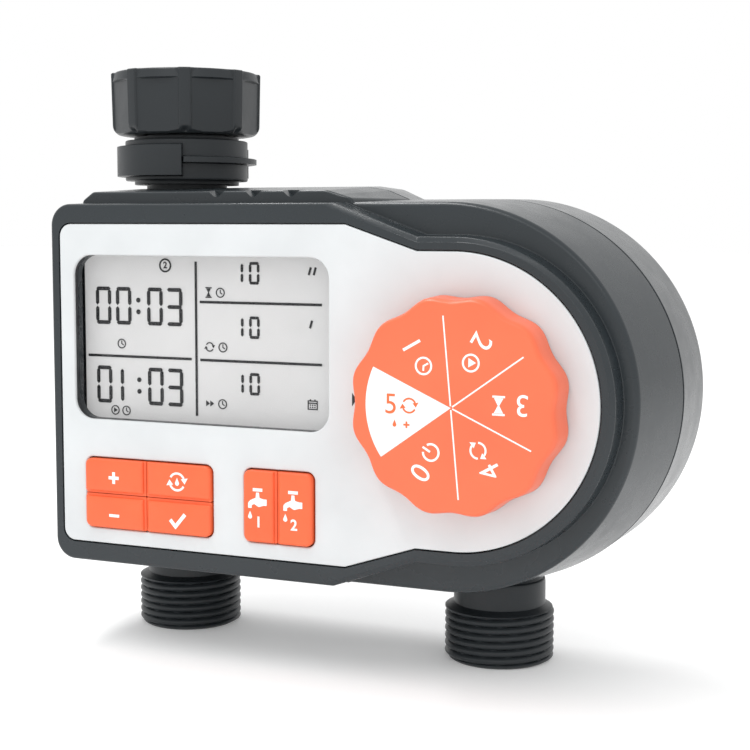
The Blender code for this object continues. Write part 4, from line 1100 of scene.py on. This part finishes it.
def build_outlets():
    for number, centre in enumerate(OUTLETS, 1):
        place = (centre.x, centre.y, 0)
        low, high = drawing_box(f"outlet_fitting_{number}")
        bottom = low.z

        def shape(radius, height, angle):
            if radius < THREAD_R - 1e-6:
                return radius, height
            above = height - bottom
            fade = smooth_step(THREAD_TOP - above, -0.0001, 0.0004)
            lead = smooth_step(above, -0.0004, 0.0010)
            wave = thread_wave(above + 0.0003, angle) * fade * lead
            return THREAD_R - THREAD_DEPTH + THREAD_DEPTH * wave - 0.0006 * (1 - lead), height

        mesh = revolve(outlet_rings(high.z, bottom), 160, shape, 60)
        piece(f"outlet_{number}", mesh, "fitting_plastic", "casing", [f"outlet_fitting_{number}"], place)
        low, high = drawing_box(f"outlet_seal_{number}")
        mesh = revolve(flat_ring(0.0101, 0.0078, high.z, low.z, 0.0004, 4), 64)
        piece(f"outlet_gasket_{number}", mesh, "black_rubber", "casing", [f"outlet_seal_{number}"], place)


def flat_ring(outer, inner, top, bottom, edge, steps):
    """Cross-section of a washer with rounded edges."""
    corners = ((outer, top), (outer, bottom), (inner, bottom), (inner, top))
    return rounded([(radius, height, edge) for radius, height in corners], steps)


def build_stem():
    flange, bore = 0.0130, 0.0080
    low, high = drawing_box("inlet_stem")
    ledge = high.z - FLANGE_HEIGHT
    ring = rounded([(flange, high.z, 0.0003), (flange, ledge, 0.0003), (STEM_R, ledge, 0.0002),
                    (STEM_R, low.z, 0.0002), (bore, low.z, 0.0002), (bore, high.z, 0.0003)], 4)
    piece("inlet_pipe", revolve(ring, 96), "fitting_plastic", "casing", ["inlet_stem"], INLET)
    low, high = drawing_box("inlet_washer")
    mesh = revolve(flat_ring(flange, 0.0086, high.z, low.z, 0.0004, 5), 96)
    piece("inlet_sealing_ring", mesh, "black_rubber", "casing", ["inlet_washer"], INLET)


def build_filter():
    """Thimble strainer: a rim, four ribs and a moulded net between them."""
    low, high = drawing_box("inlet_filter")
    thick, rib, wire = 0.0008, 0.00035, 0.00012
    rim = rounded([(0.0082, high.z, 0.0002), (0.0082, high.z - thick, 0.0002),
                   (0.0068, high.z - thick, 0.0002), (0.0066, high.z, 0.0002)], 3)
    parts = [revolve(rim, 64)]
    top, bottom, wide, narrow = high.z - 0.0006, low.z + 0.0005, 0.0070, 0.0049
    columns, rows = 40, 22
    for k in range(columns):
        angle = 2 * math.pi * k / columns
        start = (wide * math.cos(angle), wide * math.sin(angle), top)
        end = (narrow * math.cos(angle), narrow * math.sin(angle), bottom)
        parts.append(cylinder(start, end, rib if k % 10 == 0 else wire, 8))
    for k in range(rows + 1):
        t = k / rows
        radius, height = wide + (narrow - wide) * t, top + (bottom - top) * t
        parts.append(revolve(arc((radius, height), wire, 0, 300, 5), 60))
    parts.append(revolve(flat_ring(0.0050, 0.0006, low.z + thick, low.z, 0.0001, 3), 48))
    piece("inlet_strainer", joined(parts), "filter_mesh", "casing", ["inlet_filter"], INLET)


def build_collar():
    """Ring with two grip blocks and two ribs, each over less than a third of a turn."""
    low, high = drawing_box("inlet_collar")
    z0, z1 = COLLAR_LEVELS
    side = 0.8

    def shape(radius, height, angle):
        if radius < COLLAR_R - 0.0002:
            return radius, height
        grown = radius
        for reach, bottom, top, start, end in GRIPS:
            turn = (math.degrees(angle) - start) % 360
            share = smooth_step(turn, 0, side) * (1 - smooth_step(turn, end - start - side, end - start))
            share *= smooth_step(height, bottom - 0.0001, bottom + 0.0002)
            share *= 1 - smooth_step(height, top - 0.0003, top + 0.0001)
            grown = max(grown, radius + (reach - COLLAR_R) * share)
        return grown, height

    inner, step = STEM_R + GAP, COLLAR_STEP_R
    ring = [(inner, high.z), (step - 0.0001, high.z), (step, high.z - 0.0001), (step, z1 + 0.0002),
            (step + 0.0001, z1), (COLLAR_R - 0.0003, z1), (COLLAR_R - 0.0001, z1 - 0.0001)]
    levels = {0.0600, 0.0590, 0.0579, 0.0570, 0.0538, 0.0528, 0.0508, 0.0505}
    for _, bottom, top, _, _ in GRIPS:
        for edge in (bottom, top):
            levels |= {edge + offset for offset in (0.0002, 0.0001, 0.0, -0.0001, -0.0002, -0.0003)}
    ring += [(COLLAR_R, level) for level in sorted(levels, reverse=True)]
    ring += [(COLLAR_R - 0.0001, z0 + 0.0001), (COLLAR_R - 0.0003, z0), (step + 0.0001, z0),
             (step, z0 - 0.0002), (step, low.z + 0.0001), (step - 0.0001, low.z), (inner, low.z)]
    mesh = revolve(ring, 720, shape, 35)
    piece("inlet_grip_collar", mesh, "fitting_plastic", "casing", ["inlet_collar"], INLET)


def nut_shape(radius, height, angle):
    """Eight drafted flats under a raised band, with a broad rib at each corner up through the band."""
    low, high = NUT_LEVELS
    if radius < NUT_R - 0.0040:
        if height > NUT_LEDGE + 0.0015 and radius < THREAD_R + 0.001:
            fade = smooth_step(high - 0.0008 - height, 0.0, 0.0010)
            fade *= smooth_step(height, NUT_LEDGE + 0.0017, NUT_LEDGE + 0.0027)
            return radius - 0.0009 * fade * thread_wave(height, angle), height
        return radius, height
    corner = (angle - FACING + math.pi / 8) % (math.pi / 4) - math.pi / 8
    across = abs(corner) * NUT_R
    bottom, below_top = height - low, high - height
    draft = 0.00035 * below_top / (high - low)
    flat = (NUT_FLAT - draft) / math.cos(math.pi / 8 - abs(corner))
    rib = 1 - smooth_step(across, 0.00135, 0.00165)
    wall = flat + (NUT_R - draft - flat) * rib
    band = NUT_R - 0.0004 - 0.0005 * max(0.0, 1 - below_top / 0.0024)
    wall += (max(wall, band) - wall) * smooth_step(-below_top, -0.0026, -0.0023)
    wall -= 0.0018 * (1 - smooth_step(across, 0.0, 0.0018)) * (1 - smooth_step(bottom, 0.0003, 0.0020))
    corner_r = 0.0026
    if bottom < corner_r:
        drop = corner_r - math.sqrt(max(0.0, corner_r ** 2 - (corner_r - bottom) ** 2))
        wall = min(wall, NUT_R - 0.0003 - drop)
    return wall - (NUT_R - radius), height


def build_nut():
    low, high = NUT_LEVELS
    ring = [(NUT_R - inset, high - y) for y, inset in quarter(0.0, 0.0005)]
    heights = [high - 0.0006 - 0.00012 * i for i in range(1, 18)]      # down past the raised band
    heights += [high - 0.0028 - (high - 0.0028 - low - 0.0030) * i / 12 for i in range(13)]
    heights += [low + 0.0030 * (1 - i / 16) for i in range(1, 17)]
    ring += [(NUT_R, height) for height in heights]
    inner, bore, ledge = STEM_R + GAP, THREAD_R + 0.0002, NUT_LEDGE
    ring += [(inner + 0.0015, low), (inner + 0.0002, low), (inner, low + 0.0002), (inner, ledge - 0.0002)]
    ring += [(inner + 0.0002, ledge), (bore - 0.0002, ledge), (bore, ledge + 0.0002), (bore, ledge + 0.0014)]
    first, count = ledge + 0.0016, 66
    ring += [(bore, first + (high - 0.0006 - first) * i / count) for i in range(1, count + 1)]
    ring += [(bore + 0.0004, high - 0.0001), (bore + 0.0007, high)]
    mesh = revolve(ring, 576, nut_shape, 38)
    piece("hand_nut", mesh, "fitting_plastic", "nut", ["swivel_nut"], INLET)


# ---------------------------------------------------------------- back: door, screws and cells


def build_battery_door():
    x0, x1, z0, z1 = DOOR
    front = 0.0486
    edge = [(y, rectangle(DOOR, DOOR_CORNER, 8, -inset)) for y, inset in last_quarter(BACK_Y, 0.0004)]
    body = loft([(front, rectangle(DOOR, DOOR_CORNER, 8))] + edge)

    def along_hinge(radius, sides, beyond=0.0):
        ends = ((x, HINGE_Y, HINGE_Z) for x in (HINGE_X0 - beyond, HINGE_X1 + beyond))
        return cylinder(*ends, radius, sides)

    web = box_mesh(HINGE_X0 + 0.0004, HINGE_X1 - 0.0004, front + 0.0001, BACK_Y - 0.0002,
                   HINGE_Z - 0.0004, z0 + 0.0006)
    steps = [(ADD, along_hinge(0.0015, 48)), (ADD, web), (CUT, along_hinge(0.0011, 32, 0.001))]
    middle = (x0 + x1) / 2
    grip = (middle - 0.0090, middle + 0.0090, z1 - 0.0062, z1 - 0.0028)
    steps.append((CUT, recess_cutter(grip, 0.0012, BACK_Y - 0.0008)))
    for k in range(5):
        z = z0 + 0.0050 + 0.0022 * k
        groove = (x0 + 0.0050, x1 - 0.0050, z, z + 0.0007)
        steps.append((CUT, recess_cutter(groove, 0.0003, BACK_Y - 0.0004)))
    mesh = carved(body, steps)
    piece("rear_battery_door", mesh, "casing_plastic", "door", ["battery_door"], weighted=True)


def build_cover_screws():
    """Cross-recess pan-head screws, deep in their wells."""
    profile = ((0, 0.0020), (0.0008, 0.00197), (0.0014, 0.00185), (0.0019, 0.0016), (0.0022, 0.0012),
               (0.0023, 0.0008), (0.0023, 0.0002), (0.0021, 0.0), (0.0014, 0.0), (0.0014, -0.0220),
               (0, -0.0235))
    wide, narrow = 0.0013, 0.0003
    for number in SCREWS:
        node = f"cover_screw_{number}"
        axis, seat = drawing_centre(node), drawing_box(node)[1].y - 0.0020
        arms = [box_mesh(-x, x, -y, y, 0.0009, 0.0030) for x, y in ((wide, narrow), (narrow, wide))]
        mesh = carved(solid_of_revolution(profile, 48), [(CUT, arm) for arm in arms])
        turn = Matrix.Rotation(-math.pi / 2, 4, "X") @ Matrix.Rotation(math.radians(27 * number), 4, "Z")
        mesh.transform(Matrix.Translation((axis.x, seat, axis.z)) @ turn)
        piece(f"case_screw_{number}", mesh, "steel", "casing", [node])


def build_cells():
    """Two cells with a bright rim, a nub and a printed sleeve."""
    for number, turn in ((1, math.pi / 2), (2, -math.pi / 2)):
        node = f"battery_{number}"
        low, high = drawing_box(node)
        place = Matrix.Translation((low + high) / 2) @ Matrix.Rotation(turn, 4, "Y")
        half, radius = (high.x - low.x) / 2, (high.z - low.z) / 2
        can = solid_of_revolution([
            (0, half), (0.0024, half), (0.0027, half - 0.0002), (0.0027, half - 0.0010),
            (radius - 0.0006, half - 0.0011), (radius - 0.0003, half - 0.0014),
            (radius - 0.0003, -half + 0.0003), (radius - 0.0006, -half), (0, -half)], 64)
        top, bottom, inner = half - 0.0016, -half + 0.0010, radius - 0.00025
        sleeve = [(radius, top, 0.0002), (radius, bottom, 0.0002), (inner, bottom, 0), (inner, top, 0)]
        band = flat_ring(radius + INK, radius - 0.0001, half - 0.0018, half - 0.0110, 0, 1)
        parts = (("can", can, "steel", [node]), ("sleeve", revolve(rounded(sleeve, 3), 96), "cell_skin", ()),
                 ("band", revolve(band, 96), "orange_ink", ()))
        for part, mesh, look, replaced in parts:
            mesh.transform(place)
            piece(f"cell_{number}_{part}", mesh, look, "casing", replaced)


# ---------------------------------------------------------------- CAD nodes that stay


def dress_frame():
    """Gives every CAD node that stays the material of its slot in the record."""
    for entry in frame["record"]["subparts"]:
        node = frame["nodes"][entry["node"]]
        node.data.materials.clear()
        node.data.materials.append(MATERIALS[entry["material_slot"]])


# ---------------------------------------------------------------- stage


def area_light(name, location, target, size, power):
    light = bpy.data.lights.new(name, "AREA")
    light.shape = "RECTANGLE"
    light.size, light.size_y = size
    light.energy = power
    obj = bpy.data.objects.new(name, light)
    obj.location = location
    obj.rotation_euler = (Vector(target) - Vector(location)).to_track_quat("-Z", "Y").to_euler()
    bpy.context.scene.collection.objects.link(obj)


def build_stage():
    middle = (CAD_BOX[0] + CAD_BOX[1]) / 2
    bm = bmesh.new()
    bmesh.ops.create_grid(bm, x_segments=1, y_segments=1, size=6)
    floor = bpy.data.objects.new("floor", finish_mesh(bm))
    floor.location = (middle.x, middle.y, FLOOR_Z)
    look = Look("floor_paper", (0.90, 0.90, 0.90), 0.75,
                Emission_Color=(1, 1, 1, 1), Emission_Strength=0.16)
    look.mottle(3, 0.01).grain(500, 0.00004)
    floor.data.materials.append(look.material)
    bpy.context.scene.collection.objects.link(floor)

    world = bpy.data.worlds.new("studio")
    world.use_nodes = True
    world.node_tree.nodes["Background"].inputs["Color"].default_value = (1, 1, 1, 1)
    world.node_tree.nodes["Background"].inputs["Strength"].default_value = 1.0
    bpy.context.scene.world = world
    bpy.context.scene.view_settings.view_transform = "Standard"

    area_light("overhead_strip", middle + Vector((-0.25, -0.08, 0.72)), middle, (1.2, 0.08), 4.0)
    area_light("front_strip", middle + Vector((0.25, -0.75, 0.60)), middle, (1.0, 0.04), 0.7)


CAMERA_PLACE = (0.1137, -0.3053, 0.0382)       # in the drawing frame
CAMERA_TURN, CAMERA_TILT, CAMERA_ROLL = 23.41, -5.62, 0.15
CAMERA_LENS = 71.7


def build_camera():
    camera = bpy.data.cameras.new("camera")
    camera.sensor_width = 36
    camera.lens = CAMERA_LENS
    camera.clip_start = 0.01
    obj = bpy.data.objects.new("camera", camera)
    turn = Matrix.Rotation(math.radians(CAMERA_TURN), 4, "Z")
    tilt = Matrix.Rotation(math.radians(90 + CAMERA_TILT), 4, "X")
    roll = Matrix.Rotation(math.radians(CAMERA_ROLL), 4, "Z")
    obj.matrix_world = Matrix.Translation(ORIGIN + Vector(CAMERA_PLACE)) @ turn @ tilt @ roll
    bpy.context.scene.collection.objects.link(obj)
    bpy.context.scene.camera = obj


build_camera()
build_stage()
dress_frame()
build_front_housing()
build_rear_cover()
build_faceplate()
build_display()
build_keys()
build_dial()
build_outlets()
build_stem()
build_filter()
build_collar()
build_nut()
build_battery_door()
build_cover_screws()
build_cells()
